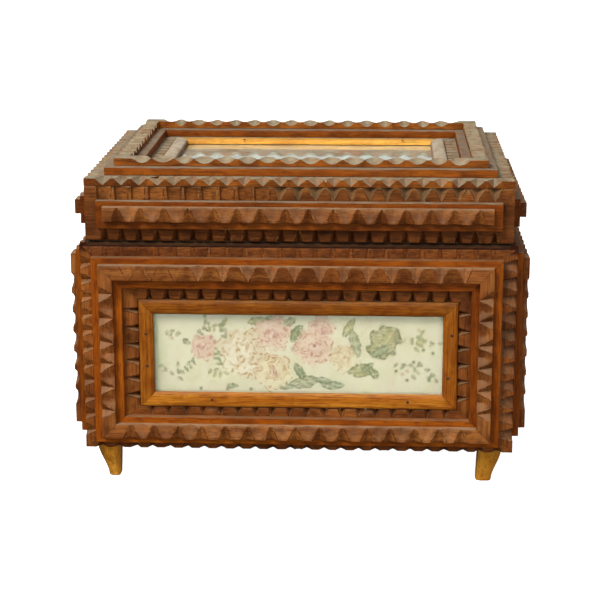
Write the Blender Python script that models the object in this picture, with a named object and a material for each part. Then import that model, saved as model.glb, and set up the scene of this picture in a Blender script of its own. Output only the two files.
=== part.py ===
"""Tramp art box: a lidded wooden box faced with stepped, chip-carved frames.

Each side of the box, and the top of the lid, carries three layers of thin board. The base
layer has V-notched edges, the strip layer is plain, and the ridge layer is carved right
across into a zigzag. Inside them a rounded moulding holds glass over printed fabric.
Metres, +Z up, front towards -Y, origin under the middle of the feet.
"""
import math

import bmesh
import bpy
from mathutils import Matrix, Vector

# Overall sizes of the box
BODY_WIDTH = 0.273
BODY_DEPTH = 0.193
BODY_HEIGHT = 0.134
LID_SETBACK_ENDS = 0.0033
LID_SETBACK_FRONT = 0.0025
LID_HEIGHT = 0.0343
LID_REST_X = 0.0003
LID_LIFT = 0.0018
WALL = 0.006
GAP = 0.0003

# Thickness of the applied layers
FRONT_LAYER = 0.0047
SIDE_LAYER = 0.0040
TOP_LAYER = 0.0048

# Fabric, glass and moulding in each opening
FABRIC_THICKNESS = 0.0006
GLASS_THICKNESS = 0.0016
MOULDING_WIDTH = 0.0094
MOULDING_THICKNESS = 0.0034
MOULDING_ROUND = 0.0012

# What shows of each layer, from the outer edge inwards: base, strip, ridge, strip, base
FRONT_PANEL = {
    "left": (0.0074, 0.0050, 0.0088, 0.0053, 0.0092),
    "right": (0.0092, 0.0058, 0.0088, 0.0045, 0.0074),
    "bottom": (0.0050, 0.0043, 0.0093, 0.0039, 0.0054),
    "top": (0.0076, 0.0040, 0.0095, 0.0061, 0.0081),
}
SIDE_PANEL = {
    "left": (0.0055, 0.0043, 0.0088, 0.0047, 0.0081),
    "right": (0.0055, 0.0043, 0.0088, 0.0047, 0.0081),
    "bottom": (0.0076, 0.0043, 0.0093, 0.0039, 0.0054),
    "top": (0.0060, 0.0038, 0.0095, 0.0061, 0.0081),
}
TOP_PANEL = {
    "left": (0.0116, 0.0055, 0.0091, 0.0060, 0.0076),
    "right": (0.0102, 0.0055, 0.0091, 0.0060, 0.0076),
    "bottom": (0.0086, 0.0055, 0.0091, 0.0060, 0.0076),
    "top": (0.0086, 0.0055, 0.0091, 0.0060, 0.0076),
}
FRONT_BARS = {
    "left": (0.0077, 0.0046),
    "right": (0.0073, 0.0056),
    "bottom": (0.0084, 0.0053),
    "top": (0.0084, 0.0030),
}
SIDE_BARS = {
    "left": (0.0055, 0.0045),
    "right": (0.0055, 0.0045),
    "bottom": (0.0084, 0.0053),
    "top": (0.0084, 0.0030),
}

# Chip carving
NOTCH_PITCH = 0.0110
OUTER_NOTCH_WIDTH = 0.0068
INNER_NOTCH_WIDTH = 0.0048
BAR_NOTCH_WIDTH = 0.0050
NOTCH_RUNOUT = 0.0004
GOUGE_SPREAD = 1.2
GOUGE_OVERRUN = 0.0005
OUTER_CORNER = 0.0085
INNER_CORNER = 0.0040
RIDGE_PITCH = 0.0148
SIDE_RIDGE_PITCH = 0.0128
TOP_RIDGE_PITCH = 0.0130
RIDGE_CUT = 0.0032
RIDGE_END = 0.0020

# Feet
FOOT_HEIGHT = 0.0236
FOOT_TOP = 0.0165
FOOT_TOE = 0.0108
FOOT_EDGE = 0.0020
FOOT_TOE_ROUND = 0.0010
FOOT_INSET = 0.0056
FOOT_LEVELS = 5

# Colours and finishes: base colour, roughness
CARVED = ((0.24, 0.085, 0.024), 0.50)
STRIP = ((0.36, 0.105, 0.018), 0.42)
HONEY = ((0.52, 0.20, 0.035), 0.40)
INSIDE = ((0.30, 0.14, 0.055), 0.70)
FABRIC = ((0.75, 0.70, 0.50), 0.85)
GLASS = ((0.85, 0.92, 0.86), 0.05)

BODY_BASE = FOOT_HEIGHT + GAP
BODY_TOP = BODY_BASE + BODY_HEIGHT
LID_WIDTH = BODY_WIDTH - 2 * LID_SETBACK_ENDS
LID_DEPTH = BODY_DEPTH - 2 * LID_SETBACK_FRONT
LID_BASE = BODY_TOP + LID_LIFT
LID_TOP = LID_BASE + LID_HEIGHT


def clear_scene():
    """Remove every object of the scene that the script starts in."""
    for obj in list(bpy.data.objects):
        bpy.data.objects.remove(obj, do_unlink=True)


def new_collection(name):
    """Make a collection and hang it in the scene."""
    collection = bpy.data.collections.new(name)
    bpy.context.scene.collection.children.link(collection)
    return collection


def finish_material(name, finish):
    """Give a part its own Principled material from a colour and a roughness."""
    colour, roughness = finish
    material = bpy.data.materials.new(name + "_finish")
    material.use_nodes = True
    shader = material.node_tree.nodes["Principled BSDF"]
    shader.inputs["Base Color"].default_value = (*colour, 1.0)
    shader.inputs["Roughness"].default_value = roughness
    shader.inputs["Metallic"].default_value = 0.0
    return material


def add_object(bm, name, finish, place):
    """Turn a bmesh into a named object of the box, standing at its place."""
    bmesh.ops.recalc_face_normals(bm, faces=bm.faces)
    mesh = bpy.data.meshes.new(name)
    bm.to_mesh(mesh)
    bm.free()
    mesh.materials.append(finish_material(name, finish))
    obj = bpy.data.objects.new(name, mesh)
    PARTS.objects.link(obj)
    obj.matrix_world = place
    return obj


def block(low, high):
    """A rectangular block between two corners."""
    bm = bmesh.new()
    size = [h - l for l, h in zip(low, high)]
    middle = [(l + h) / 2 for l, h in zip(low, high)]
    matrix = Matrix.Translation(middle) @ Matrix.Diagonal((*size, 1.0))
    bmesh.ops.create_cube(bm, size=1.0, matrix=matrix)
    return bm


def inset(rect, edges, steps):
    """Draw a rectangle in on each side by the first few widths of that side."""
    u0, v0, u1, v1 = rect
    left, right, bottom, top = (sum(edges[side][:steps]) for side in ("left", "right", "bottom", "top"))
    return (u0 + left, v0 + bottom, u1 - right, v1 - top)


def shrink(rect, amount):
    """Draw a rectangle in by the same amount all round."""
    u0, v0, u1, v1 = rect
    return (u0 + amount, v0 + amount, u1 - amount, v1 - amount)


def mitred_frame(section):
    """Carry a section round a rectangle: each of its points is a rectangle and a height.

    The frame stands in the XZ plane with its face towards -Y, and its corners are mitres.
    """
    bm = bmesh.new()
    loops = []
    for (u0, v0, u1, v1), out in section:
        corners = ((u0, v0), (u1, v0), (u1, v1), (u0, v1))
        loops.append([bm.verts.new((u, -out, v)) for u, v in corners])
    for here, there in zip(loops, loops[1:] + loops[:1]):
        for k in range(4):
            n = (k + 1) % 4
            bm.faces.new((here[k], here[n], there[n], there[k]))
    return bm


def flat_frame(outer, inner, back, face):
    """A frame of plain rectangular section."""
    return mitred_frame([(outer, back), (outer, face), (inner, face), (inner, back)])


def rounded_frame(outer, inner, back, face, edge):
    """A moulding whose two front edges are rounded over, as three facets each."""
    middle = edge * (1 - math.sqrt(0.5))
    return mitred_frame([
        (outer, back), (outer, face - edge), (shrink(outer, middle), face - middle),
        (shrink(outer, edge), face), (shrink(inner, -edge), face),
        (shrink(inner, -middle), face - middle), (inner, face - edge), (inner, back)])


def edge_runs(rect):
    """The four edges of a rectangle: start, direction along it, direction into the rectangle."""
    u0, v0, u1, v1 = rect
    return (
        (Vector((u0, 0, v0)), Vector((1, 0, 0)), Vector((0, 0, 1)), u1 - u0),
        (Vector((u1, 0, v0)), Vector((0, 0, 1)), Vector((-1, 0, 0)), v1 - v0),
        (Vector((u1, 0, v1)), Vector((-1, 0, 0)), Vector((0, 0, -1)), u1 - u0),
        (Vector((u0, 0, v1)), Vector((0, 0, -1)), Vector((1, 0, 0)), v1 - v0),
    )


def add_gouge(bm, edge_point, along, inwards, reach, thickness, width):
    """One V-notch: a bar of diamond section laid along the notch's valley.

    The valley starts on the face, reach in from the edge, and runs out through the edge just
    above the board's back. The diamond's two lower faces are the notch's walls, and it is only
    a little taller and longer than the cut, so that it keeps clear of the next one.
    """
    face = Vector((0, -1, 0))
    start = edge_point + inwards * reach + face * thickness
    end = edge_point + face * NOTCH_RUNOUT
    valley = (end - start).normalized()
    up = along.cross(valley).normalized()
    if up.dot(face) < 0:
        up = -up
    arris = edge_point + face * thickness
    half_height = GOUGE_SPREAD * (arris - start).dot(up)
    half_width = GOUGE_SPREAD * width / 2
    length = (end - start).length + 2 * GOUGE_OVERRUN
    centre = (start + end) / 2 + up * half_height
    axes = Matrix((along, up, valley)).transposed().to_4x4()
    size = Matrix.Diagonal((half_width, half_height, length, 1.0))
    bmesh.ops.create_cone(
        bm, cap_ends=True, segments=4, radius1=1.0, radius2=1.0, depth=1.0,
        matrix=Matrix.Translation(centre) @ axes @ size)


def notch_places(length, corner):
    """Centres of evenly pitched notches along an edge, clear of its two corners."""
    count = max(1, int((length - 2 * corner) / NOTCH_PITCH) + 1)
    first = (length - (count - 1) * NOTCH_PITCH) / 2
    return [first + k * NOTCH_PITCH for k in range(count)]


def carve(obj, bm):
    """Cut a set of gouges out of a board with a Boolean, keeping the cutter in its collection."""
    bmesh.ops.recalc_face_normals(bm, faces=bm.faces)
    mesh = bpy.data.meshes.new(obj.name + "_gouges")
    bm.to_mesh(mesh)
    bm.free()
    cutter = bpy.data.objects.new(obj.name + "_gouges", mesh)
    CUTTERS.objects.link(cutter)
    cutter.matrix_world = obj.matrix_world
    cutter.hide_render = True
    cutter.display_type = "WIRE"
    cut = obj.modifiers.new("chip carving", "BOOLEAN")
    cut.operation = "DIFFERENCE"
    cut.solver = "EXACT"
    cut.use_self = True
    cut.object = cutter


def notch_edges(bm, rect, edges, runs, inside, thickness, width):
    """Gouges along the chosen edges of a rectangle, each as deep as the base layer shows."""
    reaches = [edges[side][4 if inside else 0] for side in ("bottom", "right", "top", "left")]
    corner = INNER_CORNER if inside else OUTER_CORNER
    for k in runs:
        start, along, inwards, length = edge_runs(rect)[k]
        if inside:
            inwards = -inwards
        for place in notch_places(length, corner):
            add_gouge(bm, start + along * place, along, inwards, reaches[k], thickness, width)


def ridge_heights(columns):
    """Which row stands high at each column of a zigzag: both at the ends, then by turns."""
    heights = [(True, True)]
    for k in range(1, columns - 1):
        heights.append((k % 2 == 0, k % 2 == 1))
    heights.append((True, True))
    return heights


def ridge_columns(length, pitch):
    """Places of the half pitches of a zigzag, centred in a length, with plain ends."""
    halves = 2 * max(1, round((length - 2 * RIDGE_END) / pitch))
    step = (length - 2 * RIDGE_END) / halves
    return [RIDGE_END + k * step for k in range(halves + 1)]


def ridge_strip(bm, outer, inner, heights, back, face):
    """A length of zigzag between two rows of places, its facets meeting along the ridge.

    Where a row stands high its point is on the face, and where it is cut it is RIDGE_CUT
    lower. Each pair of columns makes two triangles that share the line between high points.
    """
    cut = face - RIDGE_CUT
    high = [(face if h[0] else cut, face if h[1] else cut) for h in heights]
    rows = []
    for row, points in enumerate((outer, inner)):
        tops = [bm.verts.new((p[0], -high[k][row], p[1])) for k, p in enumerate(points)]
        ends = [bm.verts.new((p[0], -back, p[1])) for p in (points[0], points[-1])]
        rows.append((tops, ends))
    (o, oe), (i, ie) = rows
    for k in range(len(o) - 1):
        inner_high = heights[k + 1][1] if k + 2 < len(o) else not heights[k][1]
        if inner_high:
            bm.faces.new((o[k], o[k + 1], i[k + 1]))
            bm.faces.new((o[k], i[k + 1], i[k]))
        else:
            bm.faces.new((i[k], o[k], o[k + 1]))
            bm.faces.new((i[k], o[k + 1], i[k + 1]))
    bm.faces.new((*o, oe[1], oe[0]))
    bm.faces.new((*i, ie[1], ie[0]))
    bm.faces.new((oe[0], oe[1], ie[1], ie[0]))
    return (o[0], oe[0], ie[0], i[0]), (o[-1], oe[-1], ie[-1], i[-1])


def ridge_side(outer_run, inner_run, pitch):
    """Rows of places of one side of a ridge frame, from mitre to mitre."""
    start, along, _, length = outer_run
    inner_start, _, _, inner_length = inner_run
    lead = (inner_start - start).dot(along)
    columns = ridge_columns(inner_length, pitch)
    outer = [start] + [start + along * (lead + c) for c in columns] + [start + along * length]
    inner = [inner_start] + [inner_start + along * c for c in columns]
    inner.append(inner_start + along * inner_length)
    heights = [(True, True)] + ridge_heights(len(columns)) + [(True, True)]
    return [(p.x, p.z) for p in outer], [(p.x, p.z) for p in inner], heights


def ridge_frame(outer, inner, back, face, pitch):
    """A frame whose face is carved across into a zigzag, plain at its four mitres."""
    bm = bmesh.new()
    for outer_run, inner_run in zip(edge_runs(outer), edge_runs(inner)):
        ridge_strip(bm, *ridge_side(outer_run, inner_run, pitch), back, face)
    bmesh.ops.remove_doubles(bm, verts=bm.verts, dist=1e-6)
    return bm


def ridge_bar(rect, back, face, pitch):
    """A straight bar carved across into a zigzag, plain at its two ends."""
    u0, v0, u1, v1 = rect
    columns = [0.0] + ridge_columns(u1 - u0, pitch) + [u1 - u0]
    outer = [(u0 + c, v0) for c in columns]
    inner = [(u0 + c, v1) for c in columns]
    heights = [(True, True)] + ridge_heights(len(columns) - 2) + [(True, True)]
    bm = bmesh.new()
    first, last = ridge_strip(bm, outer, inner, heights, back, face)
    bm.faces.new(first)
    bm.faces.new(last)
    return bm


def framed_panel(name, width, height, edges, layer, pitch, place):
    """The stepped frames, moulding, glass and fabric of one panel, from its back outwards."""
    base = (-width / 2, 0.0, width / 2, height)
    opening = inset(base, edges, 5)
    frame = add_object(flat_frame(base, opening, 0, layer), name + "_base_frame", CARVED, place)
    gouges = bmesh.new()
    notch_edges(gouges, base, edges, range(4), False, layer, OUTER_NOTCH_WIDTH)
    notch_edges(gouges, opening, edges, range(4), True, layer, INNER_NOTCH_WIDTH)
    carve(frame, gouges)
    strip_back = layer + GAP
    strip = flat_frame(inset(base, edges, 1), inset(base, edges, 4), strip_back, strip_back + layer)
    add_object(strip, name + "_strip_frame", STRIP, place)
    ridge_back = strip_back + layer + GAP
    ridge = ridge_frame(
        inset(base, edges, 2), inset(base, edges, 3), ridge_back, ridge_back + layer, pitch)
    add_object(ridge, name + "_ridge_frame", CARVED, place)
    seat = shrink(opening, GAP)
    u0, v0, u1, v1 = seat
    fabric = block((u0, -FABRIC_THICKNESS, v0), (u1, 0, v1))
    add_object(fabric, name + "_fabric", FABRIC, place)
    glass_back = FABRIC_THICKNESS + GAP
    glass_face = glass_back + GLASS_THICKNESS
    add_object(block((u0, -glass_face, v0), (u1, -glass_back, v1)), name + "_glass", GLASS, place)
    bead_back = glass_face + GAP
    bead = rounded_frame(
        seat, shrink(seat, MOULDING_WIDTH), bead_back, bead_back + MOULDING_THICKNESS, MOULDING_ROUND)
    add_object(bead, name + "_moulding", HONEY, place)


def barred_side(name, length, edges, layer, pitch, place):
    """The three straight bars on one side of the lid."""
    base = (-length / 2, 0.0, length / 2, LID_HEIGHT)
    u0, v0, u1, v1 = base
    bar = add_object(block((u0, -layer, v0), (u1, 0, v1)), name + "_base_bar", CARVED, place)
    gouges = bmesh.new()
    notch_edges(gouges, base, edges, (0, 2), False, layer, BAR_NOTCH_WIDTH)
    carve(bar, gouges)
    u0, v0, u1, v1 = inset(base, edges, 1)
    strip_back = layer + GAP
    strip = block((u0, -strip_back - layer, v0), (u1, -strip_back, v1))
    add_object(strip, name + "_strip_bar", STRIP, place)
    ridge_back = strip_back + layer + GAP
    ridge = ridge_bar(inset(base, edges, 2), ridge_back, ridge_back + layer, pitch)
    add_object(ridge, name + "_ridge_bar", CARVED, place)


def side_place(angle, reach, level, shift):
    """Stand a panel at a reach from the middle, facing the way the angle turns it."""
    turn = Matrix.Rotation(math.radians(angle), 4, "Z")
    return Matrix.Translation((shift, 0, level)) @ turn @ Matrix.Translation((0, -reach, 0))


def make_walls(name, width, depth, low, high, shift):
    """Four boards of a box: front and back run through, the two sides fit between them."""
    x, y = width / 2, depth / 2
    inner_y = y - WALL - GAP
    walls = (
        ("front", (-x, -y), (x, -y + WALL)),
        ("back", (-x, y - WALL), (x, y)),
        ("left", (-x, -inner_y), (-x + WALL, inner_y)),
        ("right", (x - WALL, -inner_y), (x, inner_y)),
    )
    place = Matrix.Translation((shift, 0, 0))
    for side, (x0, y0), (x1, y1) in walls:
        add_object(block((x0, y0, low), (x1, y1, high)), f"{name}_{side}_board", INSIDE, place)


def make_body():
    """Walls, bottom and the four framed sides of the box."""
    inner_width = BODY_WIDTH - 2 * (SIDE_LAYER + GAP)
    inner_depth = BODY_DEPTH - 2 * (FRONT_LAYER + GAP)
    make_walls("box", inner_width, inner_depth, BODY_BASE, BODY_TOP, 0)
    x = inner_width / 2 - WALL - GAP
    y = inner_depth / 2 - WALL - GAP
    floor = block((-x, -y, BODY_BASE), (x, y, BODY_BASE + WALL))
    add_object(floor, "box_bottom_board", INSIDE, Matrix.Identity(4))
    for side, angle in (("front", 0), ("back", 180)):
        place = side_place(angle, inner_depth / 2 + GAP, BODY_BASE, 0)
        framed_panel(
            "box_" + side, BODY_WIDTH, BODY_HEIGHT, FRONT_PANEL, FRONT_LAYER, RIDGE_PITCH, place)
    for side, angle in (("right", 90), ("left", -90)):
        place = side_place(angle, inner_width / 2 + GAP, BODY_BASE, 0)
        framed_panel(
            "box_" + side, inner_depth, BODY_HEIGHT, SIDE_PANEL, SIDE_LAYER, SIDE_RIDGE_PITCH, place)


def make_lid():
    """Walls, top board, barred sides and framed top of the lid, which rests on the box."""
    inner_width = LID_WIDTH - 2 * (SIDE_LAYER + GAP)
    inner_depth = LID_DEPTH - 2 * (FRONT_LAYER + GAP)
    board_low = LID_TOP - WALL
    make_walls("lid", inner_width, inner_depth, BODY_TOP + GAP, board_low - GAP, LID_REST_X)
    x, y = inner_width / 2, inner_depth / 2
    place = Matrix.Translation((LID_REST_X, 0, 0))
    add_object(block((-x, -y, board_low), (x, y, LID_TOP)), "lid_top_board", INSIDE, place)
    for side, angle in (("front", 0), ("back", 180)):
        place = side_place(angle, y + GAP, LID_BASE, LID_REST_X)
        barred_side("lid_" + side, LID_WIDTH, FRONT_BARS, FRONT_LAYER, RIDGE_PITCH, place)
    for side, angle in (("right", 90), ("left", -90)):
        place = side_place(angle, x + GAP, LID_BASE, LID_REST_X)
        barred_side("lid_" + side, inner_depth, SIDE_BARS, SIDE_LAYER, SIDE_RIDGE_PITCH, place)
    lay_flat = Matrix.Rotation(math.radians(-90), 4, "X")
    place = Matrix.Translation((LID_REST_X, -LID_DEPTH / 2, LID_TOP + GAP)) @ lay_flat
    framed_panel("lid_top", LID_WIDTH, LID_DEPTH, TOP_PANEL, TOP_LAYER, TOP_RIDGE_PITCH, place)


def foot_section(outer, inner, cut, level):
    """Eight corners of a square with its corners cut off, at one level of a foot."""
    return [
        (outer, inner - cut, level), (outer, outer + cut, level), (outer + cut, outer, level),
        (inner - cut, outer, level), (inner, outer + cut, level), (inner, inner - cut, level),
        (inner - cut, inner, level), (outer + cut, inner, level)]


def make_foot():
    """A whittled foot, straight on its two inner sides and flared at the top on the outer two.

    Its corner is at the origin, its two outer sides face -X and -Y, and its flare follows a
    smooth step from the toe to the top.
    """
    bm = bmesh.new()
    toe = FOOT_TOP - FOOT_TOE
    sections = [(0.0, toe + FOOT_TOE_ROUND, FOOT_TOP - FOOT_TOE_ROUND)]
    for k in range(FOOT_LEVELS + 1):
        share = k / FOOT_LEVELS
        level = FOOT_TOE_ROUND + (FOOT_HEIGHT - FOOT_TOE_ROUND) * share
        smooth = share * share * (3 - 2 * share)
        sections.append((level, toe * (1 - smooth), FOOT_TOP))
    rings = []
    for level, outer, inner in sections:
        cut = FOOT_EDGE if level > 0 else FOOT_EDGE - FOOT_TOE_ROUND / 2
        rings.append([bm.verts.new(p) for p in foot_section(outer, inner, cut, level)])
    for low, high in zip(rings, rings[1:]):
        for k in range(len(low)):
            n = (k + 1) % len(low)
            bm.faces.new((low[k], low[n], high[n], high[k]))
    bm.faces.new(rings[0])
    bm.faces.new(rings[-1])
    return bm


def make_feet():
    """A foot under each corner, turned so that its flared sides face outwards."""
    x = BODY_WIDTH / 2 - FOOT_INSET
    y = BODY_DEPTH / 2 - FOOT_INSET
    corners = (("front_left", -x, -y, 0), ("front_right", x, -y, 90),
               ("back_right", x, y, 180), ("back_left", -x, y, 270))
    for corner, cx, cy, angle in corners:
        place = Matrix.Translation((cx, cy, 0)) @ Matrix.Rotation(math.radians(angle), 4, "Z")
        add_object(make_foot(), "foot_" + corner, HONEY, place)


clear_scene()
PARTS = new_collection("tramp_art_box")
CUTTERS = new_collection("cutters")
make_body()
make_lid()
make_feet()
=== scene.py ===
# %% [markdown]
# A tramp art box: an old cigar-box carpenter's piece, built up from thin strips of wood whose
# edges are chip-carved with a pocket knife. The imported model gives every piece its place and
# size, so it is loaded first and each new surface is worked out from its boxes.

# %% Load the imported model
import math
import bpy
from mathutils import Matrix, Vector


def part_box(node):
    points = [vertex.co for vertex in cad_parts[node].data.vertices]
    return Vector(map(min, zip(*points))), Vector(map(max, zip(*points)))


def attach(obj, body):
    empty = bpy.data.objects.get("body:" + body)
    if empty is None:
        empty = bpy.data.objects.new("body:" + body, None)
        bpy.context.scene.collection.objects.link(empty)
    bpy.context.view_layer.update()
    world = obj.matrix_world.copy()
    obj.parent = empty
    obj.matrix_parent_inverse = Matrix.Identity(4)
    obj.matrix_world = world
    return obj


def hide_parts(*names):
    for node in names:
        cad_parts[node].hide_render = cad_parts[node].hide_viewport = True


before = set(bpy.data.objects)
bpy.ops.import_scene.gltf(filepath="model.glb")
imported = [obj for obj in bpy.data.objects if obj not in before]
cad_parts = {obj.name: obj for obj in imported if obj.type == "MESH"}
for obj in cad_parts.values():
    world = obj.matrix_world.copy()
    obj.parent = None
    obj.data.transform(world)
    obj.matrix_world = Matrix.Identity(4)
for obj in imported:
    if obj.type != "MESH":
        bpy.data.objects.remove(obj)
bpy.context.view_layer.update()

from types import SimpleNamespace

import bpy
import numpy as np
from mathutils import Matrix, Vector

# %% [markdown]
# The camera stands where the photographer's did, a little to the right and above, looking
# slightly down. Its place and turn were worked out from points of the box that show in the
# photograph, so they are given as a position in metres and angles in degrees.

# %% Camera
CAMERA_PLACE = Vector((0.050, -1.123, 0.394))
CAMERA_YAW = math.radians(-2.71)
CAMERA_PITCH = math.radians(14.77)
CAMERA_ROLL = math.radians(-0.1)
LENS = 102.0


def make_camera():
    """A camera that looks along +Y, tipped down by the pitch and then turned by the yaw."""
    camera = bpy.data.objects.new("camera", bpy.data.cameras.new("camera"))
    camera.data.lens = LENS
    camera.data.sensor_width = 36.0
    turn = (Matrix.Rotation(-CAMERA_YAW, 4, "Z")
            @ Matrix.Rotation(math.pi / 2 - CAMERA_PITCH, 4, "X")
            @ Matrix.Rotation(CAMERA_ROLL, 4, "Z"))
    camera.matrix_world = Matrix.Translation(CAMERA_PLACE) @ turn
    bpy.context.scene.collection.objects.link(camera)
    bpy.context.scene.camera = camera


make_camera()
print("camera at", tuple(CAMERA_PLACE))

# %% [markdown]
# Materials are trees of small nodes. One helper adds a node, sets what it is given and links
# what comes from another node, and one turns a hex colour as a paint chart gives it into the
# linear light that the renderer counts in.

# %% Material helpers
MM = 0.001


def linear(hexcode):
    """sRGB hex to linear RGBA: c/12.92 below 0.04045, else ((c + 0.055) / 1.055) to the 2.4."""
    code = hexcode.lstrip("#")
    parts = np.array([int(code[k:k + 2], 16) for k in (0, 2, 4)]) / 255
    light = np.where(parts <= 0.04045, parts / 12.92, ((parts + 0.055) / 1.055) ** 2.4)
    return (*map(float, light), 1.0)


def add(tree, kind, inputs=None, **settings):
    """Add a node; inputs holds a value or another node's socket for each named socket."""
    node = tree.nodes.new(kind)
    for name, value in settings.items():
        setattr(node, name, value)
    for key, value in (inputs or {}).items():
        socket = node.inputs[key]
        if isinstance(value, bpy.types.NodeSocket):
            tree.links.new(value, socket)
        else:
            socket.default_value = value
    return node


def start_material(name):
    """An empty material with a Principled shader on its output."""
    material = bpy.data.materials.new(name)
    material.use_nodes = True
    tree = material.node_tree
    tree.nodes.clear()
    shader = add(tree, "ShaderNodeBsdfPrincipled")
    add(tree, "ShaderNodeOutputMaterial", {"Surface": shader.outputs[0]})
    return material, tree, shader


def mix(tree, share, first, second, blend_type="MIX"):
    """Blend two colours by a share from 0 to 1."""
    return add(tree, "ShaderNodeMix", {0: share, 6: first, 7: second}, data_type="RGBA",
               blend_type=blend_type).outputs[2]


def stretch(tree, value, low, high, to_low=0.0, to_high=1.0):
    """Map a number from one range to another with a smooth step, held at both ends."""
    return add(tree, "ShaderNodeMapRange", {
        "Value": value, "From Min": low, "From Max": high, "To Min": to_low, "To Max": to_high},
        interpolation_type="SMOOTHSTEP").outputs[0]


def calc(tree, operation, first, second=0.0):
    """One sum on two numbers."""
    return add(tree, "ShaderNodeMath", {0: first, 1: second}, operation=operation).outputs[0]


def noise(tree, place, cell, detail=3.0, rough=0.55, warp=0.0):
    """Noise whose blotches measure cell = (along, across, deep) in metres."""
    scaled = add(tree, "ShaderNodeMapping", {
        "Vector": place, "Scale": tuple(1.0 / c for c in cell)}).outputs[0]
    return add(tree, "ShaderNodeTexNoise", {
        "Vector": scaled, "Scale": 1.0, "Detail": detail, "Roughness": rough,
        "Distortion": warp}).outputs["Fac"]


# %% [markdown]
# Every carved strip is thin hardwood from old cigar boxes, stained and varnished by hand. To
# the eye that gives fine streaks along the strip, darker varnish lying in the cuts, paler rubbed
# edges where hands and cloths have been, and a dull olive-grey film of dust on what faces up.
# The cuts are darkened further with painted shade, and each facet's tone carries the painted
# shade of its member.
# The pattern follows each strip through an attribute that holds the place along, across and
# into its own strip, so grain turns at each corner as it does in real mitred wood.

# %% Wood material
FIGURE = (0.090, 0.0060, 0.0060)
FIBRE = (0.016, 0.0009, 0.0009)
PORES = (0.0035, 0.0005, 0.0005)
BLOTCH = (0.024, 0.016, 0.016)
PATCH = (0.007, 0.0045, 0.0045)
DARKENING = (0.42, 0.34, 0.31, 1.0)


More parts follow.
